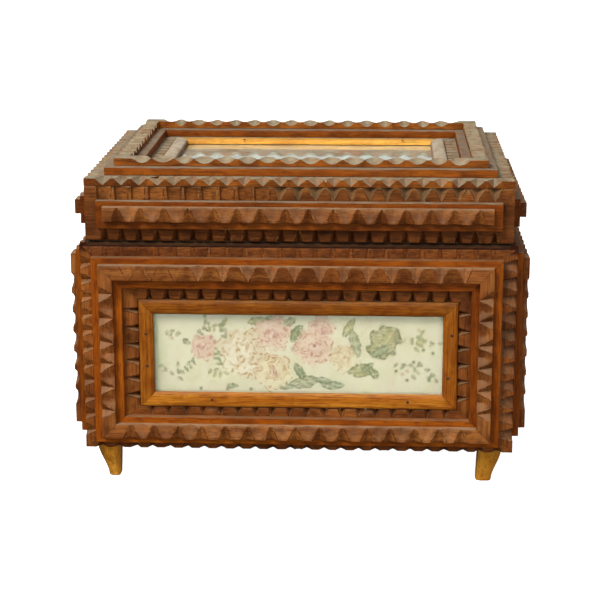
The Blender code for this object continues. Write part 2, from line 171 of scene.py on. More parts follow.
def wood(name, body, deep, light, worn, dust="#8f8264", dust_share=0.5, dust_in_cuts=0.2,
         gloss=0.45, grime_and_shade=0.6, grain_axis=None, tone_reach=0.85, rub=0.5, streak=0.6):
    """Stained and varnished hardwood.

    body, deep and light are the stain's middle, recess and streak colours, worn is the rubbed
    arris and dust the film on faces that look up; dust_in_cuts is how much of it stays in the
    knife cuts. grime_and_shade darkens the cuts with grime and painted shade, rub bares the
    arrises, streak is how strong the fibres show, and tone_reach is how far the tone attribute
    darkens a facet, by its random tone and its member's painted shade. grain_axis names the
    world axis that the grain runs along on a piece without the strip attributes.
    """
    material, tree, shader = start_material(name)
    if grain_axis is None:
        place = add(tree, "ShaderNodeAttribute", attribute_name="grain").outputs["Vector"]
    else:
        turn = {"X": (0, 0, 0), "Y": (0, 0, -math.pi / 2), "Z": (0, math.pi / 2, 0)}[grain_axis]
        coordinates = add(tree, "ShaderNodeTexCoord").outputs["Object"]
        place = add(tree, "ShaderNodeMapping", {"Vector": coordinates, "Rotation": turn}).outputs[0]
    figure = noise(tree, place, FIGURE, 4.0, 0.6, 0.6)
    fibre = noise(tree, place, FIBRE, 3.0, 0.6)
    pores = noise(tree, place, PORES, 1.0, 0.5)
    blotch = noise(tree, place, BLOTCH, 2.0, 0.5)
    patch = noise(tree, place, PATCH, 2.0, 0.5)
    colour = mix(tree, stretch(tree, figure, 0.30, 0.72), linear(body), linear(light))
    colour = mix(tree, stretch(tree, fibre, 0.42, 0.70, 0.0, streak), colour, linear(deep))
    colour = mix(tree, stretch(tree, blotch, 0.42, 0.72, 0.0, 0.55), colour, linear(deep))
    colour = mix(tree, stretch(tree, patch, 0.50, 0.72, 0.0, 0.45), colour, linear(deep))
    bare = 1.0
    if grain_axis is None:
        tone, cut, wear = (add(tree, "ShaderNodeAttribute", attribute_name=each).outputs["Fac"]
                           for each in ("tone", "cut", "wear"))
        # The tone attribute darkens each facet: its random tone plus its member's painted shade.
        colour = mix(tree, calc(tree, "MULTIPLY", tone, tone_reach), colour, DARKENING, "MULTIPLY")
        # Cuts, and the wall and tips in the gap under the lid, are darkened towards the deep colour:
        # grime, and painted shade.
        grime_and_painted_shade = calc(tree, "MULTIPLY", stretch(tree, cut, 0.05, 0.85), grime_and_shade)
        colour = mix(tree, grime_and_painted_shade, colour, linear(deep))
        arris = stretch(tree, wear, 0.25, 1.0)
        stained = calc(tree, "MULTIPLY", arris, stretch(tree, patch, 0.46, 0.58, 0.85, 0.0))
        colour = mix(tree, stained, colour, linear(deep))
        rubbed = calc(tree, "MULTIPLY", arris, stretch(tree, patch, 0.58, 0.70, 0.0, rub))
        colour = mix(tree, rubbed, colour, linear(worn))
        bare = stretch(tree, cut, 0.10, 0.60, 1.0, dust_in_cuts)
    colour = mix(tree, stretch(tree, pores, 0.62, 0.78, 0.0, 0.5), colour, DARKENING, "MULTIPLY")
    normal = add(tree, "ShaderNodeNewGeometry").outputs["Normal"]
    up = add(tree, "ShaderNodeSeparateXYZ", {0: normal}).outputs[2]
    lying = calc(tree, "ADD", stretch(tree, up, 0.45, 0.95, 0.0, dust_share * 0.65),
                 stretch(tree, up, 0.06, 0.40, 0.0, dust_share * 0.35))
    film = calc(tree, "MULTIPLY", lying,
                stretch(tree, calc(tree, "ADD", patch, calc(tree, "MULTIPLY", fibre, 0.5)),
                        0.45, 0.95, 0.45, 1.0))
    film = calc(tree, "MULTIPLY", film, bare)
    colour = mix(tree, film, colour, linear(dust))
    tree.links.new(colour, shader.inputs["Base Color"])
    dull = calc(tree, "ADD", stretch(tree, fibre, 0.35, 0.75, gloss, gloss + 0.16),
                calc(tree, "MULTIPLY", film, 0.45))
    tree.links.new(dull, shader.inputs["Roughness"])
    shader.inputs["IOR"].default_value = 1.5
    shader.inputs["Specular IOR Level"].default_value = 0.10
    relief = calc(tree, "ADD", calc(tree, "MULTIPLY", fibre, 0.7), calc(tree, "MULTIPLY", pores, 0.3))
    bump = add(tree, "ShaderNodeBump", {"Height": relief, "Strength": 0.35, "Distance": 0.25 * MM})
    tree.links.new(bump.outputs[0], shader.inputs["Normal"])
    return material


# %% [markdown]
# The same recipe gives every wood of the box. What differs is the stain, redder on the plain
# strips and honey-coloured on the feet and on one bead of the lid, and how much dust lies on the
# piece, which grows towards the lid's top.

# %% The woods of the box
CARVED = wood("stained_cigar_box_wood_carved", "#8d4e20", "#3a1607", "#ab672c", "#c08a4e",
              dust_share=0.45, dust_in_cuts=0.05, grime_and_shade=0.97)
CARVED_LID = wood("stained_cigar_box_wood_dusty", "#8b4f1e", "#371807", "#a6662e", "#b98a52",
                  dust="#857b5c", dust_share=0.95, dust_in_cuts=1.0, gloss=0.55, grime_and_shade=0.9)
CARVED_TOP = wood("stained_cigar_box_wood_under_dust", "#985014", "#411c08", "#aa6420", "#bc925a",
                  dust="#a69b80", dust_share=0.98, dust_in_cuts=1.0, gloss=0.6, grime_and_shade=0.4)
RIDGE = wood("stained_cigar_box_wood_faceted", "#8f5022", "#451b09", "#b06f34", "#c9985a",
             dust="#a78766", dust_share=1.0, dust_in_cuts=1.0, grime_and_shade=0.5)
STRIP = wood("varnished_mahogany_strip", "#984a0a", "#602706", "#b26010", "#c08040",
             dust_share=0.45, gloss=0.4)
STRIP_LID = wood("varnished_mahogany_strip_dusty", "#8e440c", "#522406", "#a35812", "#b38248",
                 dust="#99907a", dust_share=0.8, gloss=0.48)
BEAD = wood("varnished_mahogany_bead", "#b66818", "#7e3808", "#cf882a", "#cf9a52",
            dust_share=0.2, gloss=0.36, streak=0.85)
BEAD_HONEY = wood("varnished_maple_bead", "#eda43c", "#b0702a", "#f6bc56", "#e6b86c",
                  dust_share=0.15, gloss=0.4, tone_reach=0.3)
BEAD_DUSTY = wood("varnished_bead_under_dust", "#a07452", "#6c4a30", "#b28660", "#bd9a74",
                  dust="#c9bba2", dust_share=0.98, gloss=0.6, tone_reach=0.4)
FOOT = wood("whittled_maple", "#ea9626", "#a8641a", "#f6b244", "#ecbc6a",
            dust_share=0.2, gloss=0.42, tone_reach=0.6)
# The boards are drawn much darker than their wood, so the gap under the lid reads dark: painted shade.
BOARDS = {axis: wood("planed_cigar_box_board_" + axis.lower(), "#4a2f1c", "#2e1b10", "#5a3c24",
                     "#5a3c24", dust_share=0.2, gloss=0.6, grain_axis=axis) for axis in "XY"}
print("woods made:", len(bpy.data.materials), "materials in the file")

# %% [markdown]
# Each side of the box is worked out flat, as on the bench: u runs to the right, v up and w out
# of the panel. Three rows of axes then stand that flat work up on its side of the box.

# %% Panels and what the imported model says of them
AXES = {
    "front": np.array([(1, 0, 0), (0, 0, 1), (0, -1, 0)], float),
    "back": np.array([(-1, 0, 0), (0, 0, 1), (0, 1, 0)], float),
    "right": np.array([(0, 1, 0), (0, 0, 1), (1, 0, 0)], float),
    "left": np.array([(0, -1, 0), (0, 0, 1), (-1, 0, 0)], float),
    "top": np.array([(1, 0, 0), (0, 1, 0), (0, 0, 1)], float),
}
NEAR = 0.1 * MM
EDGES = ("bottom", "right", "top", "left")


def side_of(node):
    """The side that a node belongs to: the last of the side names in its name."""
    return [word for word in node.split("_") if word in AXES][-1]


def flat_points(node):
    """A node's points in the flat axes of its own side."""
    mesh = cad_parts[node].data
    points = np.empty(len(mesh.vertices) * 3, np.float32)
    mesh.vertices.foreach_get("co", points)
    return points.reshape(-1, 3).astype(float) @ AXES[side_of(node)].T


def distinct(values):
    """Sorted values with those closer than NEAR merged."""
    values = np.sort(values)
    return values[np.concatenate(([True], np.diff(values) > NEAR))]


def frame_rects(node):
    """Outer and inner rectangle of a frame, as u0, v0, u1, v1, and its back and face level."""
    points = flat_points(node)
    back = points[:, 2].min()
    face = points[:, 2].max()
    rim = points[points[:, 2] < back + NEAR]
    u = distinct(rim[:, 0])
    v = distinct(rim[:, 1])
    return (u[0], v[0], u[-1], v[-1]), (u[1], v[1], u[-2], v[-2]), back, face


def block_rect(node):
    """Rectangle of a bar or block, and its back and face level."""
    points = flat_points(node)
    low = points.min(0)
    high = points.max(0)
    return (low[0], low[1], high[0], high[1]), low[2], high[2]


def margins(outer, inner):
    """How far one rectangle lies inside another at its bottom, right, top and left."""
    return (inner[1] - outer[1], outer[2] - inner[2], outer[3] - inner[3], inner[0] - outer[0])


def edge_runs(rect):
    """Start, direction along, direction inwards and length of a rectangle's four edges."""
    u0, v0, u1, v1 = rect
    return (((u0, v0), (1, 0), (0, 1), u1 - u0), ((u1, v0), (0, 1), (-1, 0), v1 - v0),
            ((u1, v1), (-1, 0), (0, -1), u1 - u0), ((u0, v1), (0, -1), (1, 0), v1 - v0))


# %% [markdown]
# A strip of wood is a closed tube of points: rows run round its section and columns along it.
# The columns are placed where the carver's cuts begin, bottom and end, so each facet is a flat
# run of faces with crisp edges. Ends are closed with one face each, cut at the mitre.

# %% Shells, pieces and a gentle hand-made wobble
PIECES = []


def wobble(rng, along, across, height, wave):
    """Sum of five sines with random directions and phases, about height tall, wave long."""
    total = np.zeros(np.broadcast(along, across).shape)
    for _ in range(5):
        a, b = rng.normal(0, 1, 2) * 2 * math.pi / wave
        total += np.sin(a * along + b * across + rng.uniform(0, 2 * math.pi))
    return total * height / 3


def strip_shell(points, grain, cut, wear, tone):
    """Close rows of points (round the section) by columns (along the strip) into a shell."""
    rows, columns = points.shape[:2]
    index = np.arange(rows * columns).reshape(rows, columns)
    after = np.roll(index, -1, axis=0)
    quads = np.stack((index[:, :-1], index[:, 1:], after[:, 1:], after[:, :-1]), -1)
    caps = [index[:, 0], index[::-1, -1]]
    flat = points.reshape(-1, 3)
    q = quads.reshape(-1, 4)
    a, b, c, d = (flat[q[:, k]] - flat[0] for k in range(4))
    volume = np.einsum("ij,ij->i", a, np.cross(b, c)) + np.einsum("ij,ij->i", a, np.cross(c, d))
    if volume.sum() < 0:
        q = q[:, ::-1]
        caps = [cap[::-1] for cap in caps]
    return {"points": flat, "quads": q, "caps": caps, "grain": grain.reshape(-1, 3),
            "cut": cut.ravel(), "wear": wear.ravel(), "tone": tone.ravel()}


def fill_mesh(mesh, points, quads, caps):
    """Put points, four-sided faces and larger end faces into a mesh."""
    loops = np.concatenate([quads.ravel()] + list(caps)).astype(np.int32)
    sizes = np.concatenate([np.full(len(quads), 4), [len(c) for c in caps]]).astype(np.int32)
    mesh.vertices.add(len(points))
    mesh.vertices.foreach_set("co", points.astype(np.float32).ravel())
    mesh.loops.add(len(loops))
    mesh.loops.foreach_set("vertex_index", loops)
    mesh.polygons.add(len(sizes))
    mesh.polygons.foreach_set("loop_start", (np.cumsum(sizes) - sizes).astype(np.int32))
    mesh.update(calc_edges=True)


def set_attribute(mesh, name, kind, domain, field, values):
    """Write an array into a named attribute of a mesh."""
    attribute = mesh.attributes.new(name, kind, domain)
    attribute.data.foreach_set(field, np.asarray(values, np.float32).ravel())


def register(piece, material, nodes):
    """Give a piece its materials and its body, hide the nodes it stands for, and add it to the pieces.
    """
    for each in material if isinstance(material, list) else [material]:
        piece.data.materials.append(each)
    bpy.context.scene.collection.objects.link(piece)
    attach(piece, "root")
    if nodes:
        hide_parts(*nodes)
    PIECES.append(piece)
    return piece


def wooden_piece(name, shells, material, nodes, crease=32):
    """Join shells into one piece; material is one for all, or a list with one for each shell."""
    starts = np.cumsum([0] + [len(s["points"]) for s in shells])
    quads = np.concatenate([s["quads"] + k for s, k in zip(shells, starts)])
    caps = [cap + k for s, k in zip(shells, starts) for cap in s["caps"]]
    points = np.concatenate([s["points"] for s in shells])
    mesh = bpy.data.meshes.new(name)
    fill_mesh(mesh, points, quads, caps)
    for attribute in ("cut", "wear"):
        values = np.concatenate([s[attribute] for s in shells])
        set_attribute(mesh, attribute, "FLOAT", "POINT", "value", values)
    grain = np.concatenate([s["grain"] for s in shells])
    set_attribute(mesh, "grain", "FLOAT_VECTOR", "POINT", "vector", grain)
    tone = np.concatenate([s["tone"] for s in shells] + [np.full(len(caps), 1.0)])
    set_attribute(mesh, "tone", "FLOAT", "FACE", "value", tone)
    mesh.shade_smooth()
    mesh.set_sharp_from_angle(angle=math.radians(crease))
    piece = register(bpy.data.objects.new(name, mesh), material, nodes)
    if isinstance(material, list):
        faces = np.repeat(np.arange(len(shells)), [len(s["quads"]) for s in shells])
        ends = np.repeat(np.arange(len(shells)), [len(s["caps"]) for s in shells])
        which = np.concatenate((faces, ends)).astype(np.int32)
        mesh.polygons.foreach_set("material_index", which)
    return piece


# %% [markdown]
# No strip on the real box is dead straight. Its face and its edges wander by a tenth of a
# millimetre, so each strip gets a slow wobble before it is stood on its side of the box, and is
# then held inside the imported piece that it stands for.

# %% Standing a strip on its panel
FACE_WOBBLE = 0.10 * MM
EDGE_WOBBLE = 0.12 * MM
DIRTY_END = 0.5
TONE_SPREAD = 0.6


def place_strip(rng, node, run, back, s, t, w, cut, wear, tone, shade=0.4, cuts=()):
    """Stand a strip's rows on its panel and keep them inside the node's own box.

    run is the strip's start, its direction along and its direction inwards. shade is the strip's
    painted shade, how dark it is drawn from 0 to 1 for the light that falls on it. cuts are places
    along the strip where it is sawn into shells of their own; the outer ones belong to the strips
    that cross it, so their grain is turned.
    """
    start, along, inward = run
    # The strip's painted shade is laid into the tone of each facet here.
    tone = np.clip(shade + (tone - 0.5) * TONE_SPREAD, 0, 1)
    lift = w / max(w.max(), 1e-6)
    w = w + wobble(rng, s, t, FACE_WOBBLE, 0.030) * lift
    t = t + wobble(rng, s, 0.0, EDGE_WOBBLE, 0.040) * lift
    flat = np.stack((start[0] + s * along[0] + t * inward[0],
                     start[1] + s * along[1] + t * inward[1], back + w), -1)
    points = flat @ AXES[side_of(node)]
    points = np.clip(points, *(np.array(corner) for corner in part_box(node)))
    grain = np.stack((s, t, w), -1) + rng.uniform(0, 3, 3)
    if not cuts:
        return [strip_shell(points, grain, cut, wear, tone)]
    edge_row = len(WALL_ROWS)
    stops = [0] + [int(np.argmin(np.abs(s[edge_row] - c))) for c in cuts] + [s.shape[1] - 1]
    shells = []
    for k, (first, last) in enumerate(zip(stops, stops[1:])):
        part = slice(first, last + 1)
        turned = grain[:, part, [1, 0, 2]] if k % 2 == 0 else grain[:, part]
        dirty = DIRTY_END if k % 2 == 0 else 0.0
        shells.append(strip_shell(points[:, part], turned, cut[:, part] + 0.5 * dirty,
                                  wear[:, part], np.clip(tone[:, first:last] + dirty, 0, 1)))
    return shells


# %% [markdown]
# Chip carving takes out a chip with two slanting cuts that meet in a valley. The valley starts on
# the face, under the next layer, and runs down and out through the edge, so the edge becomes a
# row of teeth. A carver's hand is never quite even, so each notch gets its own width, reach,
# lean and place, and a few teeth have lost their tips.

# %% Notches along an edge
NOTCH_PITCH = 11.0 * MM
OUTER_CORNER = 8.5 * MM
INNER_CORNER = 4.0 * MM
OVERRUN = 0.8 * MM
JOINT = 0.08 * MM
TOOTH_COLUMNS = np.array([0.0, 0.14, 0.5, 0.86])
WALL_COLUMNS = np.array([0.0, 0.2, 0.5, 0.8])
BAND_ROWS = np.array([0.0, 0.05, 0.14, 0.32, 0.55, 0.76, 0.92, 1.06])
WALL_ROWS = np.array([0.0, 0.5, 0.88])
SIDE_ROWS = len(BAND_ROWS) + len(WALL_ROWS)


def notch_places(length, corner):
    """Centres of evenly pitched notches along an edge, clear of both corners."""
    count = max(1, int((length - 2 * corner) / NOTCH_PITCH) + 1)
    return (length - (count - 1) * NOTCH_PITCH) / 2 + np.arange(count) * NOTCH_PITCH


def carved_band(rng, begin, end, places, style):
    """One notched edge: where its columns stand and how high the wood is left there.

    Across a notch the height falls in a straight line to the valley. At the edge the valley is
    at the style's rest; with a taper of 1 it rises in a straight line to the face as the notch
    closes, and with a small taper it runs on like a step. Returned are the places (rows by
    columns), the heights as a share of the thickness, the wear and the tones.
    """
    count = len(places)
    row = BAND_ROWS[:, None]
    rest = style["rest"]
    reach = rng.uniform(0.90, 1.04, count)
    close = 1 - style["taper"] * (1 - np.clip(1 - row / reach, 0, 1))
    opening = style["half"] * rng.uniform(0.90, 1.08, count) * np.maximum(close, 0.03)
    middle = places + rng.normal(0, 0.20 * MM, count) + rng.normal(0, 0.3 * MM, count) * row
    lean = np.clip(style["lean"] + rng.normal(0, 0.08, count), -0.9, 0.9)
    knots = np.empty((len(BAND_ROWS), 3 * count + 2))
    knots[:, 0] = begin
    knots[:, -1] = end
    knots[:, 1:-1:3] = middle - opening
    knots[:, 2:-1:3] = middle + lean * opening
    knots[:, 3:-1:3] = middle + opening
    room = np.arange(knots.shape[1]) * 0.06 * MM
    knots = np.maximum.accumulate(knots - room, axis=1) + room
    sections = 3 * count + 1
    kind = np.concatenate(([0], np.tile((1, 2, 0), count)))
    shares = np.where((kind == 0)[:, None], TOOTH_COLUMNS, WALL_COLUMNS)
    steps = np.diff(knots, axis=1)[:, :, None]
    places_out = knots[:, :-1, None] + steps * shares
    floor = rest + (1 - rest) * (1 - close)
    heights = np.ones((len(BAND_ROWS), sections, 4))
    heights[:, 1::3] = floor[:, :, None] + (1 - floor[:, :, None]) * (1 - WALL_COLUMNS) ** 1.1
    heights[:, 2::3] = floor[:, :, None] + (1 - floor[:, :, None]) * WALL_COLUMNS ** 1.1
    chipped = np.where(rng.random(count + 1) < 0.06, rng.uniform(0.1, 0.4, count + 1), 0.0)
    chip = chipped * np.clip(1 - row / 0.4, 0, 1)
    heights[:, 0::3, 1:] -= chip[:, :, None]
    wear = np.zeros_like(heights)
    wear[:, 1::3, 0] = 1.0
    wear[:, 3::3, 0] = 1.0
    heights[:2] -= np.array([0.06, 0.0])[:, None, None] * heights[:2]
    wear[0] = np.maximum(wear[0], 0.6 * (heights[0] > 0.8))
    tone = np.repeat(rng.uniform(0, 1, sections), 4)
    shape = (len(BAND_ROWS), sections * 4)
    last = np.asarray(end, float) * np.ones(len(BAND_ROWS))
    places_out = np.column_stack((places_out.reshape(shape), last))
    heights = np.column_stack((heights.reshape(shape), np.ones(len(BAND_ROWS))))
    wear = np.column_stack((wear.reshape(shape), np.zeros(len(BAND_ROWS))))
    return places_out, heights, wear, tone


def pad_columns(band, columns):
    """Give a band more columns by dividing its last plain stretch."""
    places, heights, wear, tone = band
    spare = columns - places.shape[1]
    if spare == 0:
        return band
    share = np.arange(1, spare + 1) / (spare + 1)
    extra = places[:, -2:-1] + (places[:, -1:] - places[:, -2:-1]) * share
    places = np.column_stack((places[:, :-1], extra, places[:, -1]))
    heights = np.column_stack((heights[:, :-1], np.ones((len(heights), spare)), heights[:, -1]))
    wear = np.column_stack((wear[:, :-1], np.zeros((len(wear), spare)), wear[:, -1]))
    tone = np.concatenate((tone, np.full(spare, tone[-1])))
    return places, heights, wear, tone


CHIPPED = dict(half=3.4 * MM, lean=0.0, taper=1.0, rest=0.08, bite=1.0 * MM, inset=0.0)
SMALL = dict(CHIPPED, half=2.4 * MM, bite=0.0)
STEPPED = dict(CHIPPED, half=4.9 * MM, lean=-0.88, taper=0.10, rest=0.60, bite=0.3 * MM)
UNDER_LID = dict(STEPPED, inset=1.7 * MM)
SHALLOW = dict(CHIPPED, half=4.4 * MM, lean=0.3, taper=0.8, rest=0.42, bite=0.6 * MM)
SAWN = dict(CHIPPED, half=4.8 * MM, lean=0.78, taper=0.6, rest=0.2, bite=1.8 * MM)
WIDE = dict(CHIPPED, half=4.7 * MM, bite=0.4 * MM)
SCALLOPED = dict(CHIPPED, half=3.3 * MM, bite=0.2 * MM)
print("notches on an edge of 250 mm:", len(notch_places(250 * MM, OUTER_CORNER)))

# %% [markdown]
# A strip of the base layer is carved along both of its edges. Its section runs up the outer wall,
# over the outer teeth, across the hidden middle, over the inner teeth and down the inner wall.

# %% A strip with two carved edges
def notched_strip(rng, length, width, thick, leads, outer, inner, joint=JOINT):
    """A strip notched along both edges: rows round its section, columns along it.

    leads are how far the two ends are cut back at the inner edge. outer and inner each hold the
    notches' places, their reach and their style. A style's inset is how far the whole edge is
    planed back, and its bite how much further it is cut back at the bottom of a notch.
    """
    def ends(across):
        share = across / width
        return leads[0] * share + joint, length - leads[1] * share - joint

    inset = outer[2]["inset"]
    outer_t = inset + BAND_ROWS * (outer[1] - inset)
    inner_t = width - BAND_ROWS * inner[1]
    bands = [carved_band(rng, *ends(outer_t), outer[0], outer[2]),
             carved_band(rng, *ends(inner_t), inner[0], inner[2])]
    columns = max(b[0].shape[1] for b in bands)
    (so, ho, eo, to), (si, hi, ei, ti) = (pad_columns(b, columns) for b in bands)
    wall = WALL_ROWS[:, None]
    walls = (len(WALL_ROWS), 1)
    s = np.vstack((np.tile(so[0], walls), so, si[::-1], np.tile(si[0], walls)))
    outer_bite = outer[2]["bite"] * (1 - ho[0])
    inner_bite = inner[2]["bite"] * (1 - hi[0])
    fading = np.clip(1 - BAND_ROWS, 0, 1)[:, None]
    t = np.vstack((inset + outer_bite + 0 * wall, outer_t[:, None] + outer_bite * fading,
                   inner_t[::-1, None] - inner_bite * fading[::-1], width - inner_bite + 0 * wall))
    h = np.vstack((wall * ho[0], ho, hi[::-1], (wall * hi[0])[::-1]))
    cut = np.vstack((wall * 0 + (1 - ho[0]) * 0.5 + 0.12, (1 - ho) * 0.58, (1 - hi[::-1]) * 0.75,
                     wall * 0 + (1 - hi[0]) * 0.6 + 0.2))
    wear = np.vstack((0.3 * wall * eo[0], eo, ei[::-1], (0.3 * wall * ei[0])[::-1]))
    tone = np.vstack((np.tile(to, (SIDE_ROWS, 1)), np.tile(ti, (SIDE_ROWS, 1))))
    return s, t, h * thick, cut, wear, tone


# %% [markdown]
# The top layer of each frame is carved right across its width: scoops from the outer edge and
# scoops from the inner edge take turns, and each runs out to nothing at the far edge. Between
# two scoops the old face is left as a thin, slanting ridge, so the strip reads as a zigzag.

# %% Ridge-carved strips
RIDGE_END = 2.0 * MM
RIDGE_CUT = 3.2 * MM
RIDGE_ROWS = np.array([0.0, 0.06, 0.2, 0.4, 0.6, 0.8, 0.94, 1.0])
SCOOP_COLUMNS = np.array([0.0, 0.10, 0.30, 0.50, 0.70, 0.90])


def ridged_strip(rng, length, width, thick, leads, style, flat_from=None):
    """A strip scooped across by turns from both edges.

    The height under a scoop is the face less the cut times the distance from the scoop's far
    edge to the 0.7, times one minus the distance from the scoop's middle to the roundness.
    Past flat_from the scoops were hardly begun.
    """
    cut_share = RIDGE_CUT / thick
    roundness = style["roundness"]
    inner_length = length - leads[0] - leads[1]
    count = max(1, round((inner_length - 2 * RIDGE_END) / style["pitch"]))
    step = (inner_length - 2 * RIDGE_END) / count
    row = RIDGE_ROWS[:, None]
    middle = leads[0] + RIDGE_END + (np.arange(count) + 0.5) * step
    middle = middle + rng.normal(0, 0.02, count) * step
    at_edge = style["wide"] * rng.uniform(0.88, 1.06, count)
    at_far = style["thin"] * rng.uniform(0.7, 1.4, count)
    spread = step * (at_edge + (at_far - at_edge) * row)
    slide = rng.normal(0, 0.02, count) * step * row
    knots = np.empty((len(RIDGE_ROWS), 2 * count + 2))
    knots[:, 0] = leads[0] * RIDGE_ROWS + JOINT
    knots[:, -1] = length - leads[1] * RIDGE_ROWS - JOINT
    knots[:, 1:-1:2] = middle + slide - spread
    knots[:, 2:-1:2] = middle + slide + spread
    sections = 2 * count + 1
    steps = np.diff(knots, axis=1)[:, :, None]
    places = knots[:, :-1, None] + steps * SCOOP_COLUMNS
    hollow = 1 - np.abs(2 * SCOOP_COLUMNS - 1) ** roundness
    depth = cut_share * rng.uniform(0.82, 1.08, sections)
    depth[2:-1:2] *= style["inner"]
    if flat_from is not None:
        depth = depth * np.where(knots[0, :-1] > flat_from, 0.22, 1.0)
    outer_depth = (1 - row) ** 0.7
    inner_depth = row ** 0.7
    heights = np.ones((len(RIDGE_ROWS), sections, len(SCOOP_COLUMNS)))
    heights[:, 1::2] -= (depth[1::2] * outer_depth)[:, :, None] * hollow
    heights[:, 2:-1:2] -= (depth[2:-1:2] * inner_depth)[:, :, None] * hollow
    wear = np.zeros_like(heights)
    wear[:, 1:, 0] = 1.0
    heights[:, 1:, 0] -= 0.03
    shape = (len(RIDGE_ROWS), sections * len(SCOOP_COLUMNS))
    places = np.column_stack((places.reshape(shape), knots[:, -1]))
    heights = np.column_stack((heights.reshape(shape), np.ones(len(RIDGE_ROWS))))
    wear = np.column_stack((wear.reshape(shape), np.zeros(len(RIDGE_ROWS))))
    heights[[0, -1]] -= 0.05 * heights[[0, -1]]
    tone = np.repeat(rng.uniform(0, 1, sections), len(SCOOP_COLUMNS))
    wall = np.array([0.0, 0.6])[:, None]
    columns = places.shape[1]
    s = np.vstack((np.tile(places[0], (2, 1)), places, np.tile(places[-1], (2, 1))))
    across = np.concatenate(([0, 0], RIDGE_ROWS, [1, 1])) * width
    t = across[:, None] * np.ones(columns)
    h = np.vstack((wall * heights[0], heights, (wall * heights[-1])[::-1]))
    cut = np.vstack((wall * 0 + 0.25 + 0 * heights[0], (1 - heights) / cut_share * 0.4,
                     wall * 0 + 0.25 + 0 * heights[0]))
    edge_wear = np.array([0.0, 0.3])[:, None] * (heights[0] > 0.8)
    wear = np.vstack((edge_wear, wear, edge_wear[::-1]))
    return s, t, h * thick, cut, wear, np.tile(tone, (len(across), 1))


# %% [markdown]
# Plain strips and the rounded bead that holds the glass are a section carried along the strip.
# The section is a list of places across and heights; its corners are taken off a little, as
# sandpaper and a century of dusting leave them.

# %% Plain strips
def plain_strip(rng, length, width, thick, leads, section):
    """Carry a section, as shares of width and thickness, along a strip with mitred ends."""
    across = section[:, 0:1] * width
    share = across / width
    begin = leads[0] * share + JOINT
    end = length - leads[1] * share - JOINT
    columns = max(8, int(length / (2.5 * MM)))
    s = begin + (end - begin) * np.linspace(0, 1, columns)
    ones = np.ones(columns)
    edge = section[:, 2:3] * ones
    dents = np.clip(wobble(rng, s, across * 3, 1.0, 0.018) - 0.55, 0, 1) * edge * 0.25 * MM
    h = section[:, 1:2] * thick * ones - dents
    cut = np.where(section[:, 1:2] < 0.5, 0.35, 0.0) * ones
    tone = np.full((len(section), columns - 1), rng.uniform(0, 0.8))
    return s, across * ones, h, cut, edge * 0.8, tone


def flat_section(width, thick, arris):
    """Across, height and edge wear of a flat strip whose two front arrises are eased."""
    a = arris / width
    b = arris / thick
    return np.array([
        (0, 0, 0), (0, 0.5, 0), (0, 1 - b, 0.7), (0.3 * a, 1 - 0.3 * b, 1.0), (a, 1, 0.7),
        (2.5 * a, 1, 0), (0.5, 1, 0), (1 - 2.5 * a, 1, 0), (1 - a, 1, 0.7),
        (1 - 0.3 * a, 1 - 0.3 * b, 1.0), (1, 1 - b, 0.7), (1, 0.5, 0), (1, 0, 0)])


def bead_section(power=3.6, steps=15):
    """Across, height and wear of a bead: height is (1 - |x| to the power) to the 1 / power."""
    angle = np.linspace(0, math.pi, steps)
    x = -np.sign(np.cos(angle)) * np.abs(np.cos(angle)) ** (2 / power)
    height = np.sin(angle) ** (2 / power)
    wear = 0.5 * (np.abs(np.abs(x) - 0.85) < 0.1)
    rows = np.column_stack(((x + 1) / 2, 0.12 + 0.88 * height, wear))
    return np.vstack(((0, 0, 0), rows, (1, 0, 0)))


print("rows of a flat strip and of a bead:", len(flat_section(1, 1, 0.1)), len(bead_section()))

# %% [markdown]
# No two edges of the real box are carved alike, so each side and edge has its own manner of
# notches and ridges. Each member also gets its own painted shade: lighter where the light falls
# on it, darker where it lies in shade.

# %% Manners of carving, painted shades, and strips to be made
FACETED = dict(pitch=14.8 * MM, roundness=1.1, wide=0.33, thin=0.03, inner=0.85)
WAVY = dict(pitch=12.8 * MM, roundness=2.0, wide=0.42, thin=0.20, inner=1.0)
HUMPED = dict(pitch=13.0 * MM, roundness=2.0, wide=0.465, thin=0.12, inner=1.0)
RIDGE_STYLES = {"front": FACETED, "back": FACETED, "left": WAVY, "right": WAVY, "top": HUMPED}
BAND_STYLES = {("front", "top"): UNDER_LID, ("front", "right"): SAWN, ("front", "left"): SHALLOW,
               ("back", "top"): UNDER_LID, ("left", "top"): UNDER_LID, ("right", "top"): UNDER_LID}
BAND_STYLES.update({(side, "bottom"): SCALLOPED for side in ("front", "back", "left", "right")})
BAND_STYLES.update({("top", edge): WIDE for edge in EDGES})
# Painted shade of each member, for its bottom, right, top and left: low where light falls on it, as on
# the front's left, high where it lies in shade, as the moulding's top under the layers above.
MEMBER_PAINTED_SHADES = {
    "box_front_base_frame": (0.40, 0.55, 0.65, -0.3), "box_front_strip_frame": (0.40, 0.80, 0.40, 0.30),
    "box_front_ridge_frame": (0.0, 0.35, 0.35, 0.10), "box_front_moulding": (0.05, 0.55, 0.95, 0.55),
    "lid_top_base_frame": (0.25, 0.4, 0.4, 0.4), "lid_top_ridge_frame": (0.10, 0.3, 0.1, 0.3),
    "lid_front_strip_bar": (0.45,), "lid_front_ridge_bar": (0.45,)}


def random_for(name):
    """A random source of a piece's own, so that a change to one leaves the others alone."""
    return np.random.default_rng(list(name.encode()))


def painted_shades_of(node):
    """The painted shade of a frame's four members, for the light each gets; one that isn't listed is
    middling.
    """
    return MEMBER_PAINTED_SHADES.get(node, (0.4, 0.4, 0.4, 0.4))


